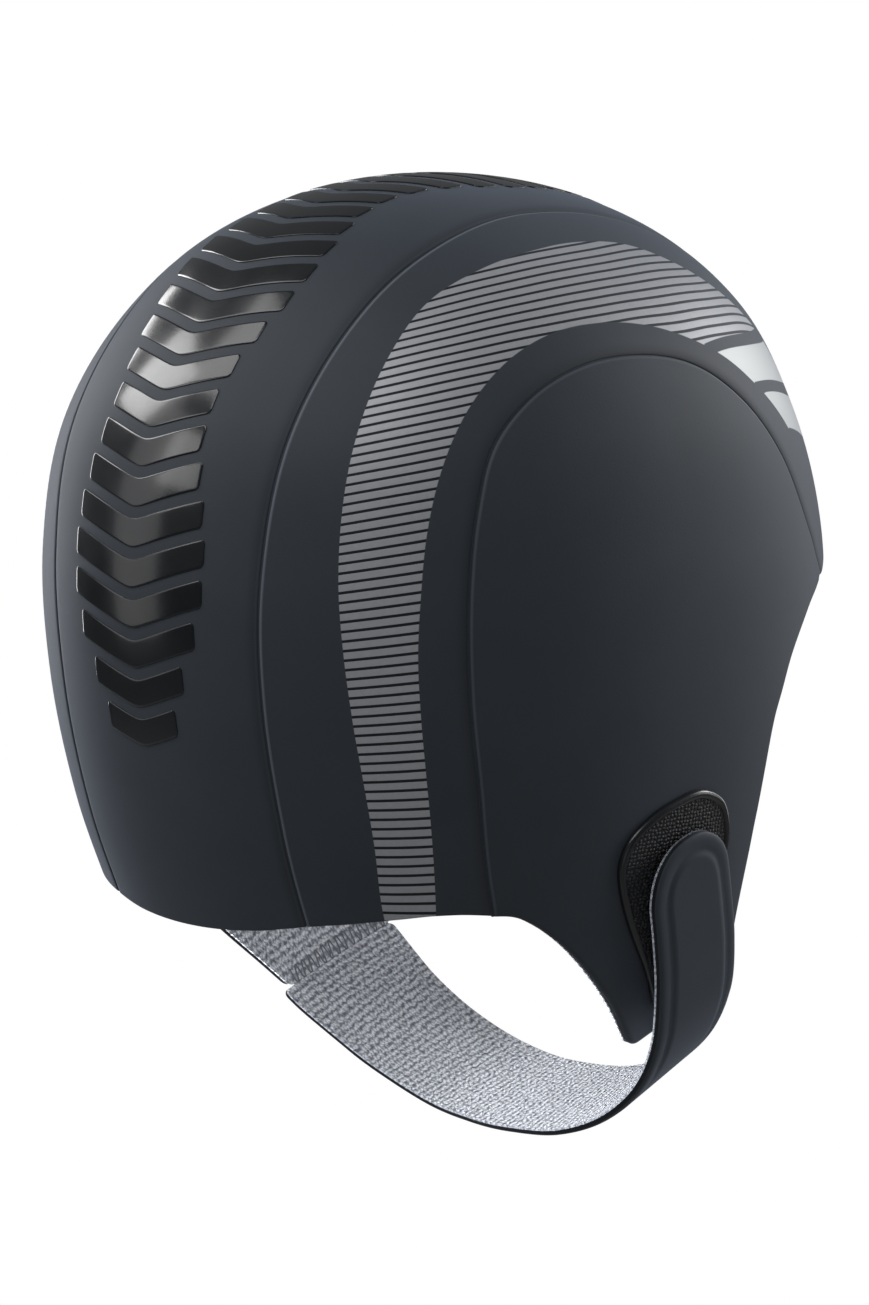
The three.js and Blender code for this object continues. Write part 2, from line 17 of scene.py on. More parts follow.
import bpy
import numpy as np
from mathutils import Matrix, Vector


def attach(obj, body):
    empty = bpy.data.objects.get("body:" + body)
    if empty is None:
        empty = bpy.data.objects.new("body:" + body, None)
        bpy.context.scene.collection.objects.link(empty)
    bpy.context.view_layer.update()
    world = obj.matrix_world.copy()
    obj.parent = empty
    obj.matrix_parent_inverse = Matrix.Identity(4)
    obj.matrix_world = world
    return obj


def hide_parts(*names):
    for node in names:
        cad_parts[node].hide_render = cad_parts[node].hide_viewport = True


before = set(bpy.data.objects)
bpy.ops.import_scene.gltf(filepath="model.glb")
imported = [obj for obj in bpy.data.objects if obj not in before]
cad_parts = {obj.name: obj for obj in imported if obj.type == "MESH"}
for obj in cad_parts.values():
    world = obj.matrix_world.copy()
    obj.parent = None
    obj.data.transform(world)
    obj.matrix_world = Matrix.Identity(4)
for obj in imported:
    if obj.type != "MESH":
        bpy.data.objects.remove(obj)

logging.basicConfig(level=logging.INFO, format="%(message)s")
LOG = logging.getLogger("swim_cap")

Array = np.ndarray
Curve = Callable[[Array], Array]
Colour = tuple[float, float, float, float]
Rows = tuple[tuple[float, ...], ...]
Material = bpy.types.Material
Piece = bpy.types.Object
Socket = bpy.types.NodeSocket
Tree = bpy.types.NodeTree
METRES = 0.001
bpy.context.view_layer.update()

SHEET = 2.4  # foam rubber of the panels
LINING = 0.6  # knit face inside the panels
SEAM_GAP = 0.3  # between two neighbouring pieces
PANEL_GAP = 0.11  # degrees from a seam's line to each panel
CUT_ROUND = 0.3  # rounding of a sheet's edge on its inner face
KNIT_INSET = 0.25  # from a seam to the edge of the knit face
KNIT_PROUD = 0.12  # by which the knit stands out past a free edge of the foam
KNIT_DEPTH = SHEET + 0.02  # top of the knit below the head surface
KNIT_BACK = SHEET + LINING  # its inner face
EDGE_STEPS = (0.0, 0.03, 0.1, 0.22, 0.4, 0.62, 0.9, 1.25, 1.7, 2.3, 3.0, 3.9)  # of a grid, from an edge
CREASE = 38.0  # degrees between two faces that keep a sharp edge
FAR = 99.0  # stands for a distance that is too great to matter


class Hand(Enum):
    """Side of the wearer."""

    LEFT = 1
    RIGHT = -1

    @property
    def word(self) -> str:
        """The side in lower-case letters, as piece names end in it."""
        return self.name.lower()


def curve_through(keys: Sequence[float], values: Sequence[float]) -> Curve:
    """Smooth curve through rows.

    Between two rows it is the cubic that meets both with their slopes. A row's slope is that of the
    parabola through it and its two neighbours.

    Args:
        keys: rising positions of the rows.
        values: the curve's values there.

    Returns:
        A function from positions to values.
    """
    k = np.asarray(keys, float)
    v = np.asarray(values, float)
    step = np.diff(k)
    slope = np.diff(v) / step
    at = np.empty_like(v)
    at[1:-1] = (slope[:-1] * step[1:] + slope[1:] * step[:-1]) / (step[:-1] + step[1:])
    at[0] = 2 * slope[0] - at[1]
    at[-1] = 2 * slope[-1] - at[-2]

    def curve(key: Array) -> Array:
        """The curve's values at the positions."""
        key = np.asarray(key, float)
        i = np.clip(np.searchsorted(k, key) - 1, 0, len(k) - 2)
        t = (key - k[i]) / step[i]
        t2, t3 = t * t, t * t * t
        return (
            (2 * t3 - 3 * t2 + 1) * v[i]
            + (t3 - 2 * t2 + t) * step[i] * at[i]
            + (3 * t2 - 2 * t3) * v[i + 1]
            + (t3 - t2) * step[i] * at[i + 1]
        )

    return curve


def smooth(t: Array) -> Array:
    """Soft step from 0 at t = 0 to 1 at t = 1: three t squared less two t cubed."""
    t = np.clip(t, 0, 1)
    return t * t * (3 - 2 * t)


def mix(a: Array, b: Array, t: Array) -> Array:
    """Straight blend from a at t = 0 to b at t = 1."""
    return a + (b - a) * t


def unit(v: Array) -> Array:
    """Vectors scaled to length 1."""
    return v / np.maximum(np.linalg.norm(v, axis=-1, keepdims=True), 1e-12)


def run_along(line: Array) -> Array:
    """Lengths run along a line of points, from 0 at its first."""
    return np.concatenate([[0], np.cumsum(np.linalg.norm(np.diff(line, axis=0), axis=-1))])


def cubic_between(p0: Array, p1: Array, p2: Array, p3: Array, f: Array) -> Array:
    """Places on the Catmull-Rom curve between two of its points.

    It is the cubic from p1 to p2 whose slope is half of p2 - p0 at p1 and half of p3 - p1 at p2.

    Args:
        p0: the point before.
        p1: the point at the share 0.
        p2: the point at the share 1.
        p3: the point after.
        f: the shares.

    Returns:
        The places.
    """
    v0, v1 = (p2 - p0) / 2, (p3 - p1) / 2
    a = 2 * p1 - 2 * p2 + v0 + v1
    b = -3 * p1 + 3 * p2 - 2 * v0 - v1
    return ((a * f + b) * f + v0) * f + p1


def rounded(depth: float, width: float, distance: Array) -> Array:
    """How far an edge is rounded off.

    A quarter of an ellipse: the whole depth at the edge, nothing from the width inwards.

    Args:
        depth: fall at the edge itself.
        width: distance over which it fades out.
        distance: distances from the edge.

    Returns:
        The fall at each distance.
    """
    t = np.clip(1 - distance / width, 0, 1)
    return depth * (1 - np.sqrt(1 - t * t))


def painted_seam_shade(distance: Array) -> Array:
    """Painted shade in the groove at a seam, at distances from it: faint at the seam, gone 0.27 mm away."""
    return 0.12 * (1 - smooth((distance - 0.02) / 0.25))


def painted_dip_shade(distance: Array) -> Array:
    """Painted shade on a panel where it dips towards a seam: slight at the seam, gone 3.6 mm away."""
    return 0.3 * (1 - smooth(distance / 3.6))


def cut_shade(distance: Array) -> Array:
    """Darkness of a bare cut edge of the foam: whole at the edge itself, gone 0.03 mm away."""
    return 1 - smooth(distance / 0.03)


def painted_edge_highlight(distance: Array) -> Array:
    """Painted highlight on a panel's edge beside a seam, greatest 0.3 to 0.5 mm away."""
    return smooth((distance - 0.08) / 0.2) * (1 - smooth((distance - 0.5) / 0.4))


def painted_hem_shade(distance: Array) -> Array:
    """Painted shade on the knit at its cut edge: whole at the edge, gone 0.25 mm away."""
    return 1 - smooth(distance / 0.25)


def polyline_distance(points: Array, line: Array) -> Array:
    """Distances from points to a polyline, each the least over its segments.

    Args:
        points: places, any leading shape by 2 or 3.
        line: the polyline's corners in order.

    Returns:
        One distance a place.
    """
    flat = points.reshape(-1, points.shape[-1])
    start, way = line[:-1], np.diff(line, axis=0)
    length = np.maximum((way * way).sum(-1), 1e-12)
    least = np.full(len(flat), np.inf)
    for chunk in np.array_split(np.arange(len(flat)), max(len(flat) // 2000, 1)):
        off = flat[chunk, None] - start[None]
        t = np.clip((off * way).sum(-1) / length, 0, 1)
        gap = np.linalg.norm(off - t[..., None] * way, axis=-1)
        least[chunk] = gap.min(axis=1)
    return least.reshape(points.shape[:-1])


@dataclass(frozen=True)
class HeadForm:
    """Outer surface of the cap over a head, as a stack of rounded level outlines."""

    levels: Rows = (
        # down from the top, half width, reach to the front, reach to the back
        (0, 0, 0, 0),
        (12, 41.5, 56, 51.5),
        (30, 63, 79.4, 72.7),
        (55, 76, 93.3, 89.8),
        (85, 81, 103.5, 95.8),
        (115, 80.6, 105.2, 94),
        (145, 77, 103, 87),
        (175, 70.5, 95, 75.4),
        (210, 63, 80, 65),
        (245, 56, 65, 55),
    )
    roundness: float = 2.15
    crown_top: float = 3.0
    ear_axis: tuple[float, float] = (-10.0, -107.0)  # y, z in side view
    ray_range: tuple[float, float] = (5.0, 260.0)
    halvings: int = 34
    squares: tuple[Curve, ...] = field(init=False, repr=False)

    def __post_init__(self) -> None:
        """Makes the curves of the squared half widths over the depth."""
        rows = np.array(self.levels)
        curves = tuple(curve_through(rows[:, 0], rows[:, k] ** 2) for k in (1, 2, 3))
        object.__setattr__(self, "squares", curves)

    @property
    def centre(self) -> Array:
        """Middle of the ear axis, from which the rays go out."""
        return np.array([0, *self.ear_axis])

    def half_widths(self, z: Array) -> tuple[Array, Array, Array]:
        """Side, front and back reach of the level at each height."""
        down = np.maximum(self.crown_top - z, 0)
        side, front, back = (np.sqrt(np.maximum(c(down), 1e-9)) for c in self.squares)
        return side, front, back

    def value(self, p: Array) -> Array:
        """Sum of the two reaches as shares of the level's, each to the power of the roundness.

        Args:
            p: places, in millimetres.

        Returns:
            Below 1 inside the surface, above 1 outside.
        """
        side, front, back = self.half_widths(p[..., 2])
        reach = np.where(p[..., 1] < 0, front, back)
        total = np.abs(p[..., 0] / side) ** self.roundness + np.abs(p[..., 1] / reach) ** self.roundness
        over = 10 + np.hypot(p[..., 0], p[..., 1])
        return np.where(p[..., 2] >= self.crown_top, over, total)

    def normal(self, p: Array) -> Array:
        """Outward normals: the value's slope along X, Y and Z, scaled to length 1."""
        h = 0.05
        q = p.copy()
        q[..., 2] = np.minimum(q[..., 2], self.crown_top - 0.2)
        slope = [self.value(q + h * e) - self.value(q - h * e) for e in np.eye(3)]
        return unit(np.stack(slope, -1) + np.array([0, 0, 1e-12]))

    def place(self, around: Array, aside: Array) -> Array:
        """Places on the surface, found by halving along rays from the ear axis's middle.

        Args:
            around: angle about the ear axis, in degrees.
            aside: angle away from the middle plane, in degrees.

        Returns:
            Places, in millimetres.
        """
        a, s = np.broadcast_arrays(np.radians(around), np.radians(aside))
        ray = np.stack([np.sin(s), np.cos(s) * np.cos(a), np.cos(s) * np.sin(a)], -1)
        near, far = (np.full(a.shape, end) for end in self.ray_range)
        for _ in range(self.halvings):
            middle = (near + far) / 2
            outside = self.value(self.centre + ray * middle[..., None]) > 1
            far = np.where(outside, middle, far)
            near = np.where(outside, near, middle)
        return self.centre + ray * ((near + far) / 2)[..., None]

    def reach(self, around: Array, aside: Array) -> Array:
        """Distance from the ear axis's middle to the surface."""
        return np.linalg.norm(self.place(around, aside) - self.centre, axis=-1)

    def from_side_view(self, yz: Array, hand: Hand) -> Array:
        """Places on one half of the surface from their side view, by solving the level for X.

        Args:
            yz: side-view places.
            hand: which half.

        Returns:
            Places, in millimetres.
        """
        y, z = yz[..., 0], yz[..., 1]
        side, front, back = self.half_widths(z)
        reach = np.where(y < 0, front, back)
        share = np.maximum(1 - np.abs(y / reach) ** self.roundness, 0)
        return np.stack([hand.value * side * share ** (1 / self.roundness), y, z], -1)

    def angles(self, p: Array) -> tuple[Array, Array]:
        """The two angles of places, with around from -90 to 270 and aside without its sign."""
        dy, dz = p[..., 1] - self.ear_axis[0], p[..., 2] - self.ear_axis[1]
        around = (np.degrees(np.arctan2(dz, dy)) + 90) % 360 - 90
        return around, np.degrees(np.arctan2(np.abs(p[..., 0]), np.hypot(dy, dz)))


@dataclass(frozen=True)
class CutPlan:
    """Seams and free edges of the panels on the head surface."""

    head: HeadForm
    crown_seam_rows: Rows = (
        # around, aside
        (-36, 17.3),
        (-20, 18.5),
        (12, 18.5),
        (30, 18.4),
        (50, 18.8),
        (63, 19.1),
        (80, 18.5),
        (110, 18.6),
        (140, 18.2),
        (168, 17.5),
    )
    nape_rows: Rows = (
        # aside, around
        (0, -34.3),
        (10, -34.3),
        (18, -34.5),
        (24.3, -35.7),
        (29.2, -37.2),
        (33.8, -39.4),
        (37.1, -42),
        (40, -45.4),
    )
    brow_rows: Rows = ((0, 166.2), (22, 165.8), (39, 165.6), (47, 166.9))
    ear_seam_rows: Rows = (
        # side view y, z, from the nape rim over the ear to the brow rim
        (44, -161),
        (48, -149.4),
        (52, -132.7),
        (56.3, -109),
        (57.2, -87.5),
        (54.5, -69),
        (48.6, -54.4),
        (38.2, -44.8),
        (22.6, -38.1),
        (6, -36.2),
        (-13, -38.7),
        (-30, -47.5),
        (-44, -60.8),
        (-58.5, -81),
        (-65.9, -90),
        (-69.5, -93),
    )
    rim_guess: tuple[float, float] = (-36.0, 166.0)  # around, at the nape and at the brow
    rim_rounds: int = 30
    crown_seam: Curve = field(init=False, repr=False)
    nape: Curve = field(init=False, repr=False)
    brow: Curve = field(init=False, repr=False)
    ear_seam: Curve = field(init=False, repr=False)
    ear_span: tuple[float, float] = field(init=False, repr=False)

    def __post_init__(self) -> None:
        """Makes the smooth curves through the rows."""
        seam = np.array(self.crown_seam_rows)
        side = self.head.from_side_view(np.array(self.ear_seam_rows, float), Hand.LEFT)
        around, aside = self.head.angles(side)
        object.__setattr__(self, "crown_seam", curve_through(seam[:, 0], seam[:, 1]))
        object.__setattr__(self, "nape", self.rim(self.nape_rows))
        object.__setattr__(self, "brow", self.rim(self.brow_rows))
        object.__setattr__(self, "ear_seam", curve_through(around, aside))
        object.__setattr__(self, "ear_span", (float(around[0]), float(around[-1])))

    @staticmethod
    def rim(rows: Rows) -> Curve:
        """Curve of a rim over the aside angle, the same on both sides of the middle."""
        half = np.array(rows)
        both = np.vstack([half[:0:-1] * (-1, 1), half])
        return curve_through(both[:, 0], both[:, 1])

    def ends(self, aside_at: Curve, count: int) -> tuple[Array, Array]:
        """Around angles where lines over the head meet the nape rim and the brow rim.

        Each is found in rounds: a line's aside angle gives the rim's around angle, and so on.

        Args:
            aside_at: the lines' aside angles at one around angle each.
            count: how many lines there are.

        Returns:
            The angles at the nape and at the brow.
        """
        nape, brow = (np.full(count, guess) for guess in self.rim_guess)
        for _ in range(self.rim_rounds):
            nape, brow = self.nape(aside_at(nape)), self.brow(aside_at(brow))
        return nape, brow


HEAD = HeadForm()
CUT = CutPlan(HEAD)


@dataclass
class Body:
    """Points and faces of one closed piece, with what its finish needs at each point."""

    points: Array
    quads: Array
    triangles: Array = field(default_factory=lambda: np.zeros((0, 3), int))
    uv: Array | None = None
    marks: dict[str, Array] = field(default_factory=dict)

    def turned_out(self) -> "Body":
        """The body with its faces looking outwards, by the sign of its volume."""
        q, t = self.quads, self.triangles
        tris = np.vstack([q[:, [0, 1, 2]], q[:, [0, 2, 3]], t])
        a, b, c = (self.points[tris[:, k]] for k in range(3))
        if (a * np.cross(b, c)).sum() < 0:
            self.quads, self.triangles = q[:, ::-1], t[:, ::-1]
        return self


def grid_quads(rows: int, cols: int, start: int = 0, closed: bool = False) -> Array:
    """Faces of a grid of points.

    Args:
        rows: number of rows.
        cols: number of points in each.
        start: index of its first point.
        closed: whether each row's last point joins its first.

    Returns:
        Four point indices a face.
    """
    i, j = np.meshgrid(np.arange(rows - 1), np.arange(cols if closed else cols - 1), indexing="ij")
    i, j = i.ravel(), j.ravel()
    k = (j + 1) % cols
    return start + np.stack([i * cols + j, i * cols + k, (i + 1) * cols + k, (i + 1) * cols + j], -1)


def body_from_grids(outer: Array, inner: Array, uv: Array | None = None, **marks: Array) -> Body:
    """Closed body between two grids of points, walled round their edge.

    Args:
        outer: rows by columns by 3 points of one face.
        inner: the same of the other face.
        uv: pattern coordinates of the grid, used on both faces.
        marks: numbers or vectors of the grid, for the finish.

    Returns:
        The body, facing out.
    """
    rows, cols = outer.shape[:2]
    half = rows * cols
    index = np.arange(half).reshape(rows, cols)
    ring = np.concatenate([index[0, :], index[1:, -1], index[-1, -2::-1], index[-2:0:-1, 0]])
    after = np.roll(ring, -1)
    wall = np.stack([ring, ring + half, after + half, after], -1)
    top = grid_quads(rows, cols)
    body = Body(
        points=np.vstack([outer.reshape(-1, 3), inner.reshape(-1, 3)]),
        quads=np.vstack([top, top[:, ::-1] + half, wall]),
        uv=None if uv is None else np.tile(uv.reshape(-1, 2), (2, 1)),
        marks={name: np.concatenate([m.reshape(half, -1)] * 2) for name, m in marks.items()},
    )
    return body.turned_out()


def body_from_rings(
    outer: Array, inner: Array, tips: Array, uv: Array | None = None, **marks: Array
) -> Body:
    """Closed body between two fans of closed rings, each with a point in its middle.

    Args:
        outer: rings by points by 3, from the middle outwards.
        inner: the same of the other face.
        tips: the two middle points.
        uv: pattern coordinates of the rings; the middles take the first ring's mean.
        marks: numbers or vectors of the rings, for the finish.

    Returns:
        The body, facing out.
    """
    rings, count = outer.shape[:2]
    half = rings * count
    k = np.arange(count)
    top = grid_quads(rings, count, closed=True)
    rim = (rings - 1) * count + k
    after = (rings - 1) * count + (k + 1) % count
    wall = np.stack([rim, rim + half, after + half, after], -1)
    fan = np.stack([np.full(count, 2 * half), (k + 1) % count, k], -1)
    under = np.stack([np.full(count, 2 * half + 1), k + half, (k + 1) % count + half], -1)

    def both(values: Array) -> Array:
        """Values of the two faces and the two middles."""
        flat = values.reshape(half, -1)
        middle = flat[:count].mean(0, keepdims=True)
        return np.vstack([flat, flat, middle, middle])

    body = Body(
        points=np.vstack([outer.reshape(-1, 3), inner.reshape(-1, 3), tips]),
        quads=np.vstack([top, top[:, ::-1] + half, wall[:, ::-1]]),
        triangles=np.vstack([fan[:, ::-1], under[:, ::-1]]),
        uv=None if uv is None else both(uv),
        marks={name: both(m) for name, m in marks.items()},
    )
    return body.turned_out()


def tube(path: Array, across: Array, radius: float, sides: int = 8) -> Body:
    """Round thread along a path.

    Each section is a circle in the plane of the given cross direction and the path's own normal.

    Args:
        path: points along its middle.
        across: a direction for each point that is not along the path.
        radius: its radius.
        sides: corners of a section.

    Returns:
        The body, closed by a fan at both ends.
    """
    ahead = unit(np.gradient(path, axis=0))
    u = unit(across - (across * ahead).sum(-1, keepdims=True) * ahead)
    v = np.cross(ahead, u)
    a = np.linspace(0, 2 * pi, sides, endpoint=False)
    ring = radius * (np.cos(a)[None, :, None] * u[:, None] + np.sin(a)[None, :, None] * v[:, None])
    points = (path[:, None] + ring).reshape(-1, 3)
    n, k = len(path), np.arange(sides)
    last = (n - 1) * sides
    start = np.stack([np.full(sides, n * sides), (k + 1) % sides, k], -1)
    end = np.stack([np.full(sides, n * sides + 1), last + k, last + (k + 1) % sides], -1)
    body = Body(
        points=np.vstack([points, path[:1], path[-1:]]),
        quads=grid_quads(n, sides, closed=True),
        triangles=np.vstack([start, end]),
    )
    return body.turned_out()


def joined(bodies: Sequence[Body]) -> Body:
    """Several bodies as the parts of one piece, with the pattern and marks that all of them have."""
    starts = np.cumsum([0] + [len(b.points) for b in bodies])
    names = bodies[0].marks
    return Body(
        points=np.vstack([b.points for b in bodies]),
        quads=np.vstack([b.quads + s for b, s in zip(bodies, starts)]),
        triangles=np.vstack([b.triangles + s for b, s in zip(bodies, starts)]),
        uv=None if bodies[0].uv is None else np.vstack([b.uv for b in bodies]),
        marks={n: np.vstack([b.marks[n] for b in bodies]) for n in names},
    )


def in_scene(name: str, data: bpy.types.ID) -> Piece:
    """New object of the scene that shows a mesh, a lamp or a camera."""
    made = bpy.data.objects.new(name, data)
    bpy.context.scene.collection.objects.link(made)
    return made


def add_piece(
    name: str, body: Body, finish: Material, replaces: str | None = None
) -> Piece:
    """Writes a body into the scene as one piece of the cap.

    Args:
        name: the piece's name.
        body: its points and faces, in millimetres.
        finish: its material.
        replaces: the CAD node that it stands for, if any.

    Returns:
        The new object.
    """
    mesh = bpy.data.meshes.new(name)
    corners = np.concatenate([body.quads.ravel(), body.triangles.ravel()]).astype(np.int32)
    sizes = np.repeat([4, 3], [len(body.quads), len(body.triangles)]).astype(np.int32)
    mesh.vertices.add(len(body.points))
    mesh.vertices.foreach_set("co", (body.points * METRES).astype(np.float32).ravel())
    mesh.loops.add(len(corners))
    mesh.loops.foreach_set("vertex_index", corners)
    mesh.polygons.add(len(sizes))
    mesh.polygons.foreach_set("loop_start", (np.cumsum(sizes) - sizes).astype(np.int32))
    mesh.polygons.foreach_set("loop_total", sizes)
    mesh.polygons.foreach_set("use_smooth", np.ones(len(sizes), bool))
    mesh.update(calc_edges=True)
    if body.uv is not None:
        layer = mesh.uv_layers.new(name="pattern")
        layer.data.foreach_set("uv", body.uv[corners].astype(np.float32).ravel())
    for mark, values in body.marks.items():
        vector = values.shape[1] == 3
        layer = mesh.attributes.new(mark, "FLOAT_VECTOR" if vector else "FLOAT", "POINT")
        layer.data.foreach_set("vector" if vector else "value", values.astype(np.float32).ravel())
    mesh.set_sharp_from_angle(angle=radians(CREASE))
    piece = in_scene(name, mesh)
    mesh.materials.append(finish)
    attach(piece, "root")
    if replaces:
        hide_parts(replaces)
    LOG.info("%s: %d triangles", name, 2 * len(body.quads) + len(body.triangles))
    return piece


class Shader:
    """Node tree of one material or group, with short ways to add and join its nodes."""

    def __init__(self, tree: Tree) -> None:
        """Works on an empty or new tree."""
        self.tree = tree

    def node(self, kind: str, settings: dict | None = None, **inputs: object) -> bpy.types.Node:
        """Adds a node.

        Args:
            kind: its type's identifier.
            settings: properties of the node itself.
            inputs: values or sockets for its inputs, with the input's name in lower-case words joined
                by underscores, or in0, in1 and so on for its number.

        Returns:
            The node.
        """
        made = self.tree.nodes.new(kind)
        for key, value in (settings or {}).items():
            setattr(made, key, value)
        self.feed(made, **inputs)
        return made

    def feed(self, node: bpy.types.Node, **inputs: object) -> None:
        """Sets or joins a node's inputs, which are named as for a new node."""
        for key, value in inputs.items():
            if key[:2] == "in" and key[2:].isdigit():
                socket = node.inputs[int(key[2:])]
            else:
                named = (s for s in node.inputs if s.enabled and s.name.lower().replace(" ", "_") == key)
                socket = next(named)
            if isinstance(value, Socket):
                self.tree.links.new(value, socket)
            else:
                socket.default_value = value

    def math(self, operation: str, *values: object, clamp: bool = False) -> Socket:
        """Result of a math node on numbers or sockets."""
        inputs = {f"in{i}": v for i, v in enumerate(values)}
        made = self.node("ShaderNodeMath", {"operation": operation, "use_clamp": clamp}, **inputs)
        return made.outputs[0]

    def step(self, value: object, low: float, high: float) -> Socket:
        """Soft step of a value, 0 below low and 1 above high."""
        settings = {"interpolation_type": "SMOOTHSTEP"}
        return self.node("ShaderNodeMapRange", settings, in0=value, in1=low, in2=high).outputs[0]

    def blend(self, share: object, a: object, b: object) -> Socket:
        """Colour between a and b by a share."""
        made = self.node("ShaderNodeMix", {"data_type": "RGBA"}, in0=share, in6=a, in7=b)
        return made.outputs[2]

    def noise(self, vector: Socket, scale: float, detail: float, roughness: float = 0.5) -> Socket:
        """Grey noise texture's value."""
        settings = {"vector": vector, "scale": scale, "detail": detail, "roughness": roughness}
        return self.node("ShaderNodeTexNoise", **settings).outputs[0]

    def mark(self, name: str, output: str = "Fac") -> Socket:
        """A mark that the mesh carries at each point, as a number or a vector."""
        return self.node("ShaderNodeAttribute", {"attribute_name": name}).outputs[output]


class Surface(Shader):
    """Node tree of one new material round its Principled node."""

    def __init__(self, name: str) -> None:
        """Makes the material."""
        self.material = bpy.data.materials.new(name)
        self.material.use_nodes = True
        super().__init__(self.material.node_tree)
        self.principled = self.tree.nodes["Principled BSDF"]

    def place(self) -> Socket:
        """Place on the object, in metres."""
        return self.node("ShaderNodeTexCoord").outputs["Object"]

    def pattern(self) -> Socket:
        """Place on the cloth, in millimetres."""
        return self.node("ShaderNodeUVMap", {"uv_map": "pattern"}).outputs[0]

    def bump(self, height: Socket, relief: float, strength: float = 1.0) -> Socket:
        """Normals of a height that is given in shares of the relief in millimetres."""
        values = {"strength": strength, "distance": METRES * relief, "height": height}
        return self.node("ShaderNodeBump", **values).outputs[0]

    def finished(self, **inputs: object) -> Material:
        """The material, once the last inputs of its Principled node are given."""
        self.feed(self.principled, **inputs)
        return self.material


def scaled(colour: Colour, factor: float) -> Colour:
    """A colour made paler or darker by a factor."""
    return tuple(factor * c for c in colour[:3]) + (1,)


def group(name: str, takes: Sequence[str], gives: Sequence[str]) -> tuple[Shader, dict]:
    """New shader node group.

    Args:
        name: its name.
        takes: input names; Vector is a vector and the rest are numbers.
        gives: output names, of numbers.

    Returns:
        Its tree, and its input sockets by name.
    """
    tree = bpy.data.node_groups.new(name, "ShaderNodeTree")
    for word in takes:
        kind = "NodeSocketVector" if word == "Vector" else "NodeSocketFloat"
        tree.interface.new_socket(word, in_out="INPUT", socket_type=kind)
    for word in gives:
        tree.interface.new_socket(word, in_out="OUTPUT", socket_type="NodeSocketFloat")
    entry = tree.nodes.new("NodeGroupInput")
    return Shader(tree), {s.name: s for s in entry.outputs if s.name}


def finish_group(shader: Shader, **results: Socket) -> Tree:
    """Joins a group's results to its outputs by name and returns the group."""
    exit_node = shader.tree.nodes.new("NodeGroupOutput")
    for word, socket in results.items():
        shader.tree.links.new(socket, exit_node.inputs[word])
    return shader.tree


def jersey_group() -> Tree:
    """Fine smooth knit: tiny stitches with faint larger clouds, as a height and a shade."""
    s, entry = group("fine_jersey", ("Vector",), ("Height", "Shade"))
    stitches = s.noise(entry["Vector"], 2600.0, 1.0)
    clouds = s.noise(entry["Vector"], 55.0, 3.0)
    shade = s.math("MULTIPLY_ADD", clouds, 0.7, s.math("MULTIPLY", stitches, 0.3))
    return finish_group(s, Height=stitches, Shade=shade)


def loop_knit_group() -> Tree:
    """Brushed loop knit: ribs across the width, broken into rows of loops, on coordinates in mm."""
    s, entry = group("loop_knit", ("Vector", "Rib pitch", "Loop pitch"), ("Height", "Shade"))
    where = entry["Vector"]
    wander = s.node("ShaderNodeTexNoise", vector=where, scale=0.42, detail=3.0, roughness=0.6)
    centred = {"in0": wander.outputs[1], "in1": (0.5, 0.5, 0.5)}
    shift = s.node("ShaderNodeVectorMath", {"operation": "SUBTRACT"}, **centred).outputs[0]
    reach = {"in0": shift, "in1": (1.5, 1.2, 0.0), "in2": where}
    moved = s.node("ShaderNodeVectorMath", {"operation": "MULTIPLY_ADD"}, **reach).outputs[0]
    parts = s.node("ShaderNodeSeparateXYZ", in0=moved)
    along = s.math("DIVIDE", parts.outputs[0], entry["Rib pitch"])
    over = s.math("DIVIDE", parts.outputs[1], entry["Loop pitch"])
    wave = s.math("SINE", s.math("MULTIPLY", along, 2 * pi))
    rib = s.math("POWER", s.math("MULTIPLY_ADD", wave, 0.5, 0.5), 0.7)
    cell = s.node("ShaderNodeCombineXYZ", in0=along, in1=over)
    settings = {"feature": "SMOOTH_F1", "voronoi_dimensions": "2D"}
    form = {"scale": 2.0, "smoothness": 0.2, "randomness": 0.9}
    loops = s.node("ShaderNodeTexVoronoi", settings, vector=cell.outputs[0], **form)
    loop = s.math("SUBTRACT", 1.0, s.math("MULTIPLY", loops.outputs[0], 1.35))
    fuzz = s.noise(moved, 2.2, 4.0, 0.7)
    rough = s.math("MULTIPLY_ADD", loop, 0.4, s.math("MULTIPLY", fuzz, 0.42))
    height = s.math("MULTIPLY_ADD", rib, 0.27, rough)
    paleness = s.math("MULTIPLY_ADD", height, 0.85, s.math("MULTIPLY", fuzz, 0.28))
    return finish_group(s, Height=height, Shade=s.step(paleness, 0.32, 0.9))


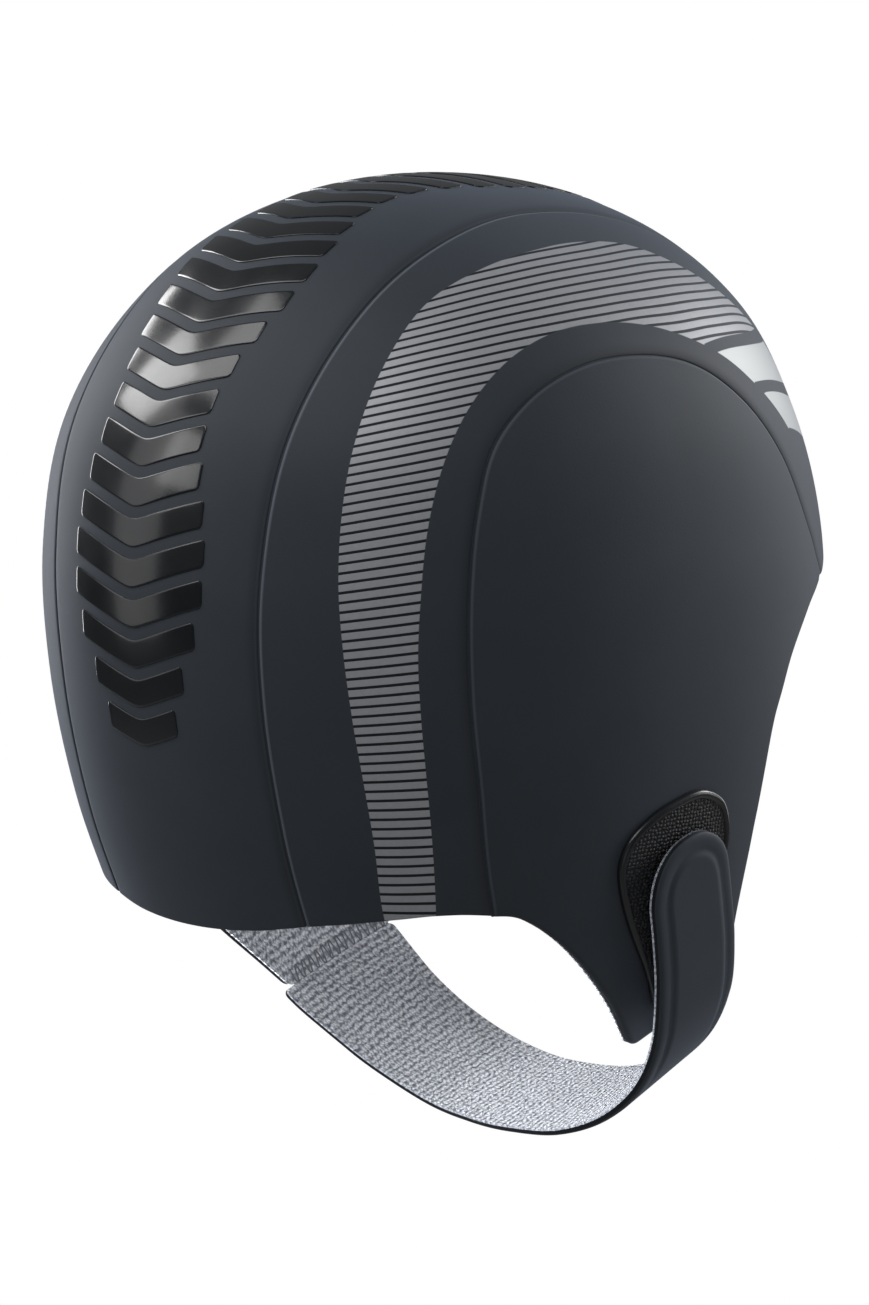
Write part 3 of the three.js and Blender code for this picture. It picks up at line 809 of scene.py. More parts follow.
@dataclass(frozen=True)
class FoamFinish:
    """Matte knit-faced foam rubber, with the band's silver print where a panel is marked for it."""

    name: str = "slate_foam"
    dark: Colour = (0.035, 0.0425, 0.053, 1)
    light: Colour = (0.051, 0.061, 0.075, 1)
    # black of bare cut edges, also used for the painted shade at seams and dips
    seam_dark: Colour = (0.006, 0.007, 0.009, 1)
    painted_highlight_colour: Colour = (0.15, 0.17, 0.2, 1)
    roughness: float = 0.62
    ink_roughness: float = 0.5
    printed: bool = False
    silver: Colour = (0.5, 0.51, 0.54, 1)
    bar_silver: Colour = (0.6, 0.62, 0.62, 1)
    gap_dark: Colour = (0.008, 0.01, 0.014, 1)
    gap_share: float = 0.3
    line_blur: float = 0.03
    side_blur: float = 0.006  # of the band's width
    bar_edges: Rows = ((-190, 98.9), (102.9, 114.9), (118.8, 130.5))

    def material(self, jersey: Tree) -> Material:
        """Builds the material.

        Args:
            jersey: the fine knit's group.

        Returns:
            The material.
        """
        s = Surface(self.name)
        where = s.place()
        knit = s.node("ShaderNodeGroup", {"node_tree": jersey}, vector=where)
        colour = s.blend(knit.outputs["Shade"], self.dark, self.light)
        # the mark seam blends in painted shade at seams and dips and the black of cut edges; the mark edge
        # a painted highlight
        colour = s.blend(s.mark("seam"), s.blend(s.mark("edge"), colour, self.painted_highlight_colour), self.seam_dark)
        height = s.math("MULTIPLY", knit.outputs["Height"], 0.022)
        shine = {"roughness": self.roughness}
        if self.printed:
            ink, bars, gap = self.band_mask(s)
            silver = s.blend(s.noise(where, 900.0, 2.0), scaled(self.silver, 0.85), self.silver)
            silver = s.blend(bars, silver, self.bar_silver)
            colour = s.blend(ink, s.blend(gap, colour, self.gap_dark), silver)
            height = s.math("MULTIPLY_ADD", ink, 0.03, height)
            change = self.ink_roughness - self.roughness
            shine["roughness"] = s.math("MULTIPLY_ADD", ink, change, self.roughness)
            shine["metallic"] = s.math("MULTIPLY", ink, 0.3)
        sheen = {"sheen_weight": 0.22, "sheen_roughness": 0.45, "sheen_tint": (0.66, 0.77, 1.0, 1)}
        bumped = s.bump(height, 1.0)
        return s.finished(base_color=colour, normal=bumped, specular_ior_level=0.35, **shine, **sheen)

    @staticmethod
    def between(s: Shader, value: Socket, low: float, high: float, blur: float = 0.15) -> Socket:
        """Mask of values from low to high, with both of its edges blurred."""
        above = s.step(value, low - blur, low + blur)
        return s.math("MULTIPLY", above, s.step(value, high + blur, high - blur))

    def band_mask(self, s: Shader) -> tuple[Socket, ...]:
        """Where the silver print lies.

        The mark named band holds a share across the band, a count of lines, and a place along it.
        Stripes fill each count but its last part; two solid bars follow towards the brow.

        Args:
            s: the material's nodes.

        Returns:
            The print's mask, a mask of its solid bars, and one of the dark lines between its stripes.
        """
        across, count, along = s.node("ShaderNodeSeparateXYZ", in0=s.mark("band", "Vector")).outputs
        inside = self.between(s, across, 0, 1, self.side_blur)
        phase = s.math("FRACT", s.math("ADD", count, 0.5))
        off = s.math("ABSOLUTE", s.math("SUBTRACT", phase, 0.5))
        half, blur = self.gap_share / 2, self.line_blur
        stripes = s.step(off, half - blur, half + blur)
        striped_zone, first_bar, second_bar = (self.between(s, along, *edges) for edges in self.bar_edges)
        striped = s.math("MULTIPLY", striped_zone, stripes)
        bars = s.math("ADD", first_bar, second_bar, clamp=True)
        ink = s.math("MULTIPLY", s.math("ADD", striped, bars, clamp=True), inside)
        between = s.math("SUBTRACT", 1.0, stripes)
        gap = s.math("MULTIPLY", s.math("MULTIPLY", striped_zone, inside), between)
        return ink, bars, gap


@dataclass(frozen=True)
class KnitFinish:
    """Light grey-blue loop knit."""

    name: str = "loop_knit"
    shadow: Colour = (0.1, 0.113, 0.145, 1)
    crest: Colour = (0.8, 0.82, 0.875, 1)
    rib_pitch: float = 2.1
    loop_pitch: float = 1.7
    relief: float = 1.2
    # strength of the painted shade at the knit's cut edge
    hem_shadow: float = 0.75

    def material(self, knit: Tree) -> Material:
        """Builds the material.

        Args:
            knit: the loop knit's group.

        Returns:
            The material.
        """
        s = Surface(self.name)
        pitches = {"rib_pitch": self.rib_pitch, "loop_pitch": self.loop_pitch}
        cloth = s.node("ShaderNodeGroup", {"node_tree": knit}, vector=s.pattern(), **pitches)
        colour = s.blend(cloth.outputs["Shade"], self.shadow, self.crest)
        # painted shade at the hem
        colour = s.blend(s.math("MULTIPLY", s.mark("hem"), self.hem_shadow), colour, self.shadow)
        bumped = s.bump(cloth.outputs["Height"], self.relief)
        sheen = {"sheen_weight": 0.35, "sheen_tint": (0.9, 0.93, 1.0, 1)}
        return s.finished(base_color=colour, normal=bumped, roughness=0.92, specular_ior_level=0.2, **sheen)


@dataclass(frozen=True)
class GlossFinish:
    """Smooth glossy black print or border, with a faint unevenness in its shine."""

    name: str
    colour: Colour = (0.008, 0.009, 0.011, 1)
    roughness: float = 0.2
    unevenness: float = 0.16
    coat: float = 0.6

    def material(self) -> Material:
        """Builds the material and returns it."""
        s = Surface(self.name)
        where = s.place()
        clouds = s.noise(where, 130.0, 3.0)
        smoothest = self.roughness - self.unevenness / 2
        return s.finished(
            base_color=s.blend(clouds, self.colour, scaled(self.colour, 1.6)),
            roughness=s.math("MULTIPLY_ADD", clouds, self.unevenness, smoothest),
            normal=s.bump(s.noise(where, 1500.0, 1.0), 0.02, strength=0.6),
            coat_weight=self.coat,
            coat_roughness=0.12,
        )


@dataclass(frozen=True)
class HookFinish:
    """Black hook tape: a woven ground with rows of small dull hooks, on coordinates in mm; the hooks are
    painted paler, a painted highlight on their tops.
    """

    name: str = "hook_tape"
    ground: Colour = (0.008, 0.0085, 0.01, 1)
    # paler colour of the hooks, a painted highlight on their tops
    hooks: Colour = (0.075, 0.08, 0.09, 1)
    row_pitch: float = 1.15
    hook_pitch: float = 0.9

    def material(self) -> Material:
        """Builds the material and returns it."""
        s = Surface(self.name)
        where = s.pattern()
        parts = s.node("ShaderNodeSeparateXYZ", in0=where)
        row = s.math("DIVIDE", parts.outputs[0], self.row_pitch)
        along = s.math("DIVIDE", parts.outputs[1], self.hook_pitch)
        cell = s.node("ShaderNodeCombineXYZ", in0=row, in1=along).outputs[0]
        flat = {"voronoi_dimensions": "2D"}
        dots = s.node("ShaderNodeTexVoronoi", flat, vector=cell, scale=1.0, randomness=0.45).outputs[0]
        hook = s.step(dots, 0.52, 0.12)
        # painted highlight on some of the hooks
        hook_highlight = s.math("MULTIPLY", hook, s.step(s.noise(where, 1.9, 2.0), 0.3, 0.7))
        colour = s.blend(hook_highlight, self.ground, self.hooks)
        return s.finished(base_color=colour, roughness=0.6, normal=s.bump(hook, 0.35))


@dataclass(frozen=True)
class ThreadFinish:
    """Dull sewing thread with a fine twist."""

    name: str
    colour: Colour = (0.15, 0.16, 0.19, 1)

    def material(self) -> Material:
        """Builds the material and returns it."""
        s = Surface(self.name)
        twist = s.noise(s.place(), 3500.0, 2.0)
        colour = s.blend(twist, scaled(self.colour, 0.55), self.colour)
        return s.finished(base_color=colour, roughness=0.8, normal=s.bump(twist, 0.06, strength=0.8))


@dataclass(frozen=True)
class Finishes:
    """All materials of the cap, built once."""

    foam: Material
    printed_foam: Material
    knit: Material
    print_gloss: Material
    border_gloss: Material
    glue: Material
    hooks: Material
    thread: Material
    black_thread: Material

    @classmethod
    def made(cls) -> "Finishes":
        """Builds the groups and the materials."""
        jersey = jersey_group()
        return cls(
            foam=FoamFinish().material(jersey),
            printed_foam=FoamFinish(name="slate_foam_with_silver_band", printed=True).material(jersey),
            knit=KnitFinish().material(loop_knit_group()),
            print_gloss=GlossFinish("glossy_print", roughness=0.2).material(),
            border_gloss=GlossFinish("glossy_border", roughness=0.3, coat=0.35).material(),
            glue=FoamFinish(
                name="seam_glue", dark=(0.032, 0.039, 0.049, 1), light=(0.045, 0.054, 0.067, 1)
            ).material(jersey),
            hooks=HookFinish().material(),
            thread=ThreadFinish("grey_thread").material(),
            black_thread=ThreadFinish("black_thread", colour=(0.012, 0.013, 0.016, 1)).material(),
        )


@dataclass(frozen=True)
class StripPanel:
    """Panel that runs from the nape rim over the head to the brow rim between two seams."""

    seam_fall: float = 0.5
    seam_widths: tuple[float, float] = (3.0, 3.0)
    rim_round: float = 0.55
    # strength of the painted highlight along each seam's edge
    painted_highlights: tuple[float, float] = (0.15, 0.15)
    painted_dip_from: float = 2.0  # width of a rounding from which the panel's dip gets painted shade
    pattern_scale: float = 1.72  # mm of the knit's pattern for each degree
    across: int = 26
    along: int = 150

    def grid(self, low: Curve, high: Curve, seam_inset: float, rim_inset: float) -> tuple[Array, ...]:
        """Grid of places on the head surface, close together near the edges.

        A column keeps one distance from a seam near it, and one share of the width in the middle.

        Args:
            low: aside angle of one seam over the around angle.
            high: aside angle of the other seam.
            seam_inset: distance by which the grid stays inside the seams.
            rim_inset: distance by which it stays inside the rims.

        Returns:
            Around and aside angles, the places, and their distances to the seams and to the rims.
        """
        coarse = np.linspace(-48, 172, 111)
        middle = (low(coarse) + high(coarse)) / 2
        reach = HEAD.reach(coarse, middle)
        width_of = curve_through(coarse, np.radians(np.abs(high(coarse) - low(coarse))) * reach)
        steps = np.array(EDGE_STEPS) + seam_inset
        inner = np.linspace(0, 1, self.across + 2)[1:-1]
        kind = np.concatenate([np.zeros(len(steps)), np.ones(len(inner)), np.full(len(steps), 2)])
        amount = np.concatenate([steps, inner, steps[::-1]])

        def share_at(around: Array) -> Array:
            """Share of the width at each column."""
            width = width_of(around)
            zone = steps[-1] / width
            ends = np.where(kind == 0, amount / width, 1 - amount / width)
            return np.where(kind == 1, zone + (1 - 2 * zone) * amount, ends)

        def aside_at(around: Array) -> Array:
            """Aside angle at each column."""
            return mix(low(around), high(around), share_at(around))

        nape, brow = CUT.ends(aside_at, len(kind))
        steps = np.array(EDGE_STEPS) + rim_inset
        back = np.degrees(steps / HEAD.reach(nape[:, None], aside_at(nape)[:, None]))
        front = np.degrees(steps / HEAD.reach(brow[:, None], aside_at(brow)[:, None]))
        rows = np.linspace(0, 1, self.along + 2)[1:-1]
        start, end = nape + back[:, -1], brow - front[:, -1]
        between = start[None] + rows[:, None] * (end - start)[None]
        around = np.concatenate([nape[None] + back.T, between, brow[None] - front.T[::-1]])
        share = share_at(around)
        aside = mix(low(around), high(around), share)
        places = HEAD.place(around, aside)
        size = np.radians(1) * np.linalg.norm(places - HEAD.centre, axis=-1)
        to_seam = np.minimum(share, 1 - share) * width_of(around)
        to_rim = np.minimum(around - nape, brow - around) * size  # negative outside the rim
        return around, aside, places, to_seam, to_rim

    def foam(
        self, low: Curve, high: Curve, mark: Callable[[Array, Array], Array] | None = None
    ) -> Body:
        """The panel's foam sheet, its outer face rounded off at the seams and the rims.

        Args:
            low: aside angle of one seam.
            high: aside angle of the other.
            mark: gives the band's mark from the two angles, if the panel carries the print.

        Returns:
            The closed body.
        """
        around, aside, places, to_seam, to_rim = self.grid(low, high, 0, 0)
        normal = HEAD.normal(places)
        nearer_low = np.arange(to_seam.shape[1]) < to_seam.shape[1] / 2
        width = np.where(nearer_low, *self.seam_widths)
        at_rim = rounded(self.rim_round, self.rim_round, to_rim)
        fall = np.maximum(rounded(self.seam_fall, width, to_seam), at_rim)
        lift = rounded(CUT_ROUND, CUT_ROUND, np.minimum(to_seam, to_rim))
        outer = places - normal * fall[..., None]
        inner = places - normal * (SHEET - lift)[..., None]
        # painted shade where a broad rounding dips towards its seam
        painted_dip = np.where(width > self.painted_dip_from, painted_dip_shade(to_seam), 0.0)
        # seam holds painted shade at the seams and dips and the black of the cut rims; edge holds a painted
        # highlight
        marks = {
            "seam": np.maximum.reduce([painted_seam_shade(to_seam), cut_shade(np.abs(to_rim)), painted_dip]),
            "edge": np.where(nearer_low, *self.painted_highlights) * painted_edge_highlight(to_seam),
        }
        if mark is not None:
            marks["band"] = mark(around, aside)
        return body_from_grids(outer, inner, **marks)

    def lining(self, low: Curve, high: Curve) -> Body:
        """The knit face inside the panel, a thin sheet with its pattern's coordinates in mm."""
        around, aside, places, to_seam, to_rim = self.grid(low, high, KNIT_INSET, -KNIT_PROUD)
        normal = HEAD.normal(places)
        to_edge = np.minimum(to_seam - KNIT_INSET, to_rim + KNIT_PROUD)
        inner = places - normal * (KNIT_BACK - rounded(CUT_ROUND, CUT_ROUND, to_edge))[..., None]
        uv = np.stack([around, aside], -1) * self.pattern_scale
        return body_from_grids(places - normal * KNIT_DEPTH, inner, uv=uv)


@dataclass(frozen=True)
class Band:
    """Silver band along each side panel, cut into stripes by fine dark lines."""

    rows: Rows = (
        # around, aside of the outer edge, aside of the inner edge, lines passed at each edge
        (-45, 26.0, 31.0, -8.8, -6.2),
        (-35, 27.7, 34.8, -1.95, 0.27),
        (-25, 29.7, 37.2, 4.88, 6.57),
        (-15, 30.4, 38.4, 11.56, 12.48),
        (-5, 30.1, 38.7, 18.41, 18.35),
        (5, 29.2, 38.4, 25.63, 24.37),
        (15, 27.9, 37.9, 33.22, 30.53),
        (25, 26.7, 36.9, 41.07, 36.84),
        (35, 25.6, 36.0, 48.94, 43.12),
        (45, 24.7, 35.5, 56.1, 48.65),
        (55, 24.2, 35.7, 61.77, 52.77),
        (65, 25.1, 36.7, 64.3, 54.96),
        (75, 25.7, 38.4, 65.21, 55.15),
        (85, 25.6, 40.2, 65.3, 54.1),
        (95, 25.9, 42.1, 63.8, 52.3),
        (105, 27.9, 43.5, 60.5, 49.7),
        (115, 29.8, 44.6, 56.1, 46.7),
        (125, 31.0, 44.8, 52.1, 43.6),
        (145, 32.4, 44.6, 45.0, 38.0),
        (170, 33.5, 44.0, 36.0, 32.0),
    )
    lean: float = 36.0  # degrees
    lean_bend: float = 12.0
    lean_fade: float = 0.0115
    lean_from: float = 99.0

    def mark(self, around: Array, aside: Array) -> Array:
        """Share across the band, lines passed, and place along its inner edge.

        The count of lines runs straight between its values at the band's two edges. The ends of the
        stripes and bars lean towards the brow: a line that meets the inner edge at an around angle a
        is at a + (1 - fade (a - from)) h further out, where h is lean w less bend w squared, and w is
        the share left to the inner edge.

        Args:
            around: around angles.
            aside: aside angles.

        Returns:
            Vectors of the three numbers.
        """
        rows = np.array(self.rows)
        outer, inner, first, second = (curve_through(rows[:, 0], rows[:, k]) for k in (1, 2, 3, 4))
        share = (np.abs(aside) - outer(around)) / (inner(around) - outer(around))
        w = np.clip(1 - share, 0, 1)
        h = self.lean * w - self.lean_bend * w * w
        along = (around - (1 + self.lean_fade * self.lean_from) * h) / (1 - self.lean_fade * h)
        return np.stack([share, mix(first(around), second(around), share), along], -1)


@dataclass(frozen=True)
class CrownPrint:
    """Unbroken ladder of glossy chevron bars over the crown panel, gently waisted along its length."""

    first_around: float = -9.0
    last_around: float = 160.0
    bar: float = 6.4
    bar_gap: float = 2.7
    half_width: float = 18.6
    waist: float = 2.6
    waist_pitch: float = 74.0
    end_taper: float = 34.0
    end_share: float = 0.62  # of the width, at the ladder's ends
    taper_ahead: float = 6.0
    rise: float = 0.34
    tip_bend: float = 3.0
    tip_drop: float = 1.7
    corner: float = 1.1
    thickness: float = 0.26
    sunk: float = 0.2
    midline: tuple[float, float] = (-34.3, 166.0)  # around, at the rims

    def body(self) -> Body:
        """All bars as one thin raised print.

        A bar is a grid over its width and its height, in mm over the crown. Its place along the crown
        grows with the distance from the middle line, and its half width follows a slow wave that
        narrows towards both ends of the ladder.

        Returns:
            The closed bodies, joined.
        """
        angles = np.linspace(*self.midline, 800)
        run = run_along(HEAD.place(angles, 0 * angles))
        start, end = np.interp([self.first_around, self.last_around], angles, run)
        lows = np.arange(start, end - self.bar, self.bar + self.bar_gap)
        middles = lows + self.bar / 2
        to_end = np.minimum(middles - start, end - middles)
        taper = smooth((to_end + self.taper_ahead) / self.end_taper)
        wave = self.waist * np.cos(2 * pi * (middles - start - self.waist_pitch / 2) / self.waist_pitch)
        widths = (self.half_width + wave) * mix(self.end_share, 1, taper)
        return joined([self.one_bar(low, width, angles, run) for low, width in zip(lows, widths)])

    def one_bar(self, low: float, half_width: float, angles: Array, run: Array) -> Body:
        """One chevron bar.

        Args:
            low: where its lower edge crosses the middle line, in mm over the crown.
            half_width: its reach to each side.
            angles: around angles along the middle line.
            run: lengths along it.

        Returns:
            The closed body.
        """
        steps = np.array([0, 0.07, 0.2, 0.5, 1.0])
        over = np.concatenate([steps, np.linspace(1.6, self.bar - 1.6, 5), self.bar - steps[::-1]])
        ends = steps / half_width
        across = np.concatenate([-1 + ends, np.linspace(-0.93, 0.93, 35), 1 - ends[::-1]])
        corner = np.minimum(over, self.bar - over)
        reach_of = half_width - rounded(self.corner, self.corner, corner)
        x = across[None, :] * reach_of[:, None]
        s = (low + over)[:, None] + self.rise * (np.sqrt(x * x + self.tip_bend) - self.tip_drop)
        around = np.interp(s, run, angles)
        reach = HEAD.reach(around, 0 * around)
        places = HEAD.place(around, np.degrees(x / reach))
        normal = HEAD.normal(places)
        edge = np.minimum(corner[:, None], (1 - np.abs(across))[None, :] * reach_of[:, None])
        top = places + normal * (self.thickness - rounded(0.2, 0.25, edge))[..., None]
        return body_from_grids(top, places - normal * self.sunk)


@dataclass(frozen=True)
class Flap:
    """Outline of an ear panel below the ear seam: back edge, foot and front edge, in side view."""

    hand: Hand
    back_rows: Rows = (
        # side view y, z, from the nape rim down
        (44, -161),
        (37.4, -162.3),
        (25.7, -169.9),
        (13.6, -180.7),
        (4.4, -189.4),
    )
    front_rows: Rows = (
        # side view y, z, from the foot up to the brow rim
        (-35.8, -169),
        (-35.8, -155),
        (-36.2, -145),
        (-38.6, -126.2),
        (-42.3, -117),
        (-47.4, -108.2),
        (-56.2, -99.8),
        (-63.3, -95.8),
        (-69.5, -93),
    )
    right_foot: Rows = ((-4, -198.4), (-36.4, -186.6))  # side view y, z of its back and front corner
    left_foot: Rows = ((-10.2, -202.8), (-43.6, -190.4))
    turn: float = 2.2
    tuck_from: float = -176.0
    tuck_to: float = -199.0
    tuck_inward: float = 2.6

    @property
    def foot(self) -> Array:
        """Back and front corner of the foot."""
        return np.array(self.left_foot if self.hand is Hand.LEFT else self.right_foot)

    @staticmethod
    def spline(points: Array, count: int) -> Array:
        """Points along the Catmull-Rom curve through places, with its end places held twice."""
        padded = np.vstack([points[:1], points, points[-1:]])
        t = np.linspace(0, len(points) - 1, count)
        i = np.minimum(t.astype(int), len(points) - 2)
        return cubic_between(*(padded[i + k] for k in range(4)), (t - i)[:, None])

    @staticmethod
    def bend(a: Array, b: Array, c: Array, count: int) -> Array:
        """Points along the parabola that leaves a towards b and ends at c."""
        t = np.linspace(0, 1, count)[:, None]
        return (1 - t) ** 2 * a + 2 * t * (1 - t) * b + t * t * c

    def outline(self) -> Array:
        """Side-view line from the nape rim round the foot to the brow rim."""
        back, front = self.foot
        along = unit(front - back)
        upper = np.array(self.back_rows, float)
        near_back = back - unit(back - upper[-1]) * self.turn
        lower = np.array(self.front_rows, float)
        near_front = front - unit(front - lower[0]) * self.turn
        after, before = back + along * self.turn, front - along * self.turn
        foot = np.linspace(after, before, 40)[1:-1]
        return np.vstack(
            [
                self.spline(np.vstack([upper, near_back]), 90),
                self.bend(near_back, back, after, 12)[1:],
                foot,
                self.bend(before, front, near_front, 12),
                self.spline(np.vstack([near_front, lower]), 110)[1:],
            ]
        )

    def tuck(self, z: Array) -> Array:
        """How far the flap turns inwards at each height, a soft step."""
        return self.tuck_inward * smooth((z - self.tuck_from) / (self.tuck_to - self.tuck_from))

    def tucked(self, p: Array) -> Array:
        """Places moved inwards with the flap's turn."""
        q = p.copy()
        q[..., 0] -= np.sign(p[..., 0]) * self.tuck(p[..., 2])
        return q


@dataclass(frozen=True)
class EarPanel:
    """Rounded panel over an ear with its flap, as a fan of rings from the ear to the outline."""

    hand: Hand
    seam_points: int = 190
    rings: int = 34
    seam_fall: float = 0.35
    seam_width: float = 0.8
    rim_round: float = 1.2
    # strength of the painted highlight beside the seam
    painted_highlight: float = 0.35
    knit_round: float = 0.25
    least_sine: float = 0.3  # of the angle between a ring's step and the outline
    blend_points: int = 9  # over which the insets blend, an odd number

    @property
    def flap(self) -> Flap:
        """The flap below the ear."""
        return Flap(self.hand)

    def outline(self) -> tuple[Array, Array]:
        """Angles of the closed outline, with the points of the ear seam first."""
        first, last = CUT.ear_span
        seam = mix(last, first, np.arange(self.seam_points) / self.seam_points)
        flap = HEAD.from_side_view(self.flap.outline()[:-1], Hand.LEFT)
        around, aside = HEAD.angles(flap)
        seam_aside = CUT.ear_seam(seam) + PANEL_GAP
        return np.concatenate([seam, around]), np.concatenate([seam_aside, aside])

    def evened(self, values: Array) -> Array:
        """Mean of each value of the closed outline with its near neighbours."""
        side = self.blend_points // 2
        kernel = np.ones(self.blend_points) / self.blend_points
        return np.convolve(np.concatenate([values[-side:], values, values[:side]]), kernel, mode="valid")

    def fan(self, seam_inset: float, free_inset: float) -> tuple[Array, Array, Array]:
        """Rings of places on the head surface, close together at the outline.

        Args:
            seam_inset: distance by which the last ring stays inside the seam.
            free_inset: the same for the free edge; the two blend over a few points.

        Returns:
            The places by ring and point, and their distances to the seam and to the free edge.
        """
        around, aside = self.outline()
        seam_count = self.seam_points
        rim = HEAD.place(around, aside)
        after, before = np.roll(rim, -1, axis=0), np.roll(rim, 1, axis=0)
        ahead = unit(after - before)
        inner = HEAD.place(around, aside + 1.0)
        ray = inner - rim
        length = np.linalg.norm(ray, axis=-1)
        cosine = (ray * ahead).sum(-1) / length
        sine = self.evened(np.sqrt(np.maximum(1 - cosine**2, self.least_sine**2)))
        inset = self.evened(np.where(np.arange(len(rim)) < seam_count, seam_inset, free_inset))
        steps = np.array(EDGE_STEPS)[::-1, None] + inset[None]
        edge = aside[None] + steps / (sine * length)[None]
        body = mix(90.0, edge[0][None], np.linspace(0, 1, self.rings + 1)[1:-1][:, None])
        all_rings = np.vstack([body, edge])
        places = HEAD.place(np.broadcast_to(around, all_rings.shape), all_rings)
        seam_line = np.vstack([rim[:seam_count], rim[seam_count : seam_count + 1]])
        free_line = np.vstack([rim[seam_count:], rim[:1]])
        near = len(body)
        to_seam, to_free = (np.full(places.shape[:2], FAR) for _ in range(2))
        to_seam[near:] = polyline_distance(places[near:], seam_line)
        to_free[near:] = polyline_distance(places[near:], free_line)
        return places * np.array([self.hand.value, 1, 1]), to_seam, to_free

    def tips(self, *depths: float) -> Array:
        """Middles of the fan's faces, at depths below the head surface over the ear."""
        tip = HEAD.place(np.array([0.0]), np.array([90.0 * self.hand.value]))
        return np.vstack([tip - HEAD.normal(tip) * depth for depth in depths])

    def foam(self) -> Body:
        """The panel's foam sheet, rounded off at the seam and at the free edge."""
        places, to_seam, to_free = self.fan(0, 0)
        normal = HEAD.normal(places)
        at_free = rounded(self.rim_round, self.rim_round, to_free)
        fall = np.maximum(rounded(self.seam_fall, self.seam_width, to_seam), at_free)
        lift = rounded(CUT_ROUND, CUT_ROUND, np.minimum(to_seam, to_free))
        outer = self.flap.tucked(places - normal * fall[..., None])
        inner = self.flap.tucked(places - normal * (SHEET - lift)[..., None])
        # dark: painted shade at the seam and the black of the cut free edge; pale: painted highlight beside
        # the seam
        dark = np.maximum(painted_seam_shade(to_seam), cut_shade(to_free))
        pale = self.painted_highlight * painted_edge_highlight(to_seam)
        return body_from_rings(outer, inner, self.tips(0, SHEET), seam=dark, edge=pale)

    def lining(self) -> Body:
        """The knit face inside the panel, with its pattern's coordinates turned to the flap's foot."""
        places, to_seam, to_free = self.fan(KNIT_INSET, -KNIT_PROUD)
        normal = HEAD.normal(places)
        lift = rounded(self.knit_round, self.knit_round, np.minimum(to_seam - KNIT_INSET, to_free))
        outer = self.flap.tucked(places - normal * KNIT_DEPTH)
        inner = self.flap.tucked(places - normal * (KNIT_BACK - lift)[..., None])
        foot = self.flap.foot
        along = unit(foot[1] - foot[0])
        down = np.array([along[1], -along[0]])
        flat = places[..., 1:] - foot[0]
        uv = np.stack([flat @ down, flat @ along], -1)
        # painted shade at the lining's free edge
        hem = painted_hem_shade(to_free + KNIT_PROUD)
        return body_from_rings(outer, inner, self.tips(KNIT_DEPTH, KNIT_BACK), uv=uv, hem=hem)


@dataclass(frozen=True)
class SeamBead:
    """Dark glue that closes the joint between two panels, as a thin bead under their rounded edges."""

    radius: float = 0.42
    depth: float = 0.88
    stations: int = 420
    end_inset: float = 0.12  # degrees

    def crown(self, hand: Hand) -> Body:
        """The bead between the crown panel and a side panel, from the nape rim to the brow rim."""
        nape, brow = CUT.ends(CUT.crown_seam, 1)
        return self.along(CUT.crown_seam, nape[0], brow[0], hand)

    def ear(self, hand: Hand) -> Body:
        """The bead between a side panel and an ear panel."""
        return self.along(CUT.ear_seam, *CUT.ear_span, hand)

    def along(self, seam: Curve, start: float, end: float, hand: Hand) -> Body:
        """A round bead along a seam, at one depth below the head surface.

        Args:
            seam: aside angle of the seam over the around angle.
            start: around angle of its first end.
            end: around angle of its last end.
            hand: the side that it is on.

        Returns:
            The closed bead.
        """
        around = np.linspace(start + self.end_inset, end - self.end_inset, self.stations)
        places = HEAD.place(around, hand.value * seam(around))
        normal = HEAD.normal(places)
        return tube(places - normal * self.depth, normal, self.radius, sides=10)


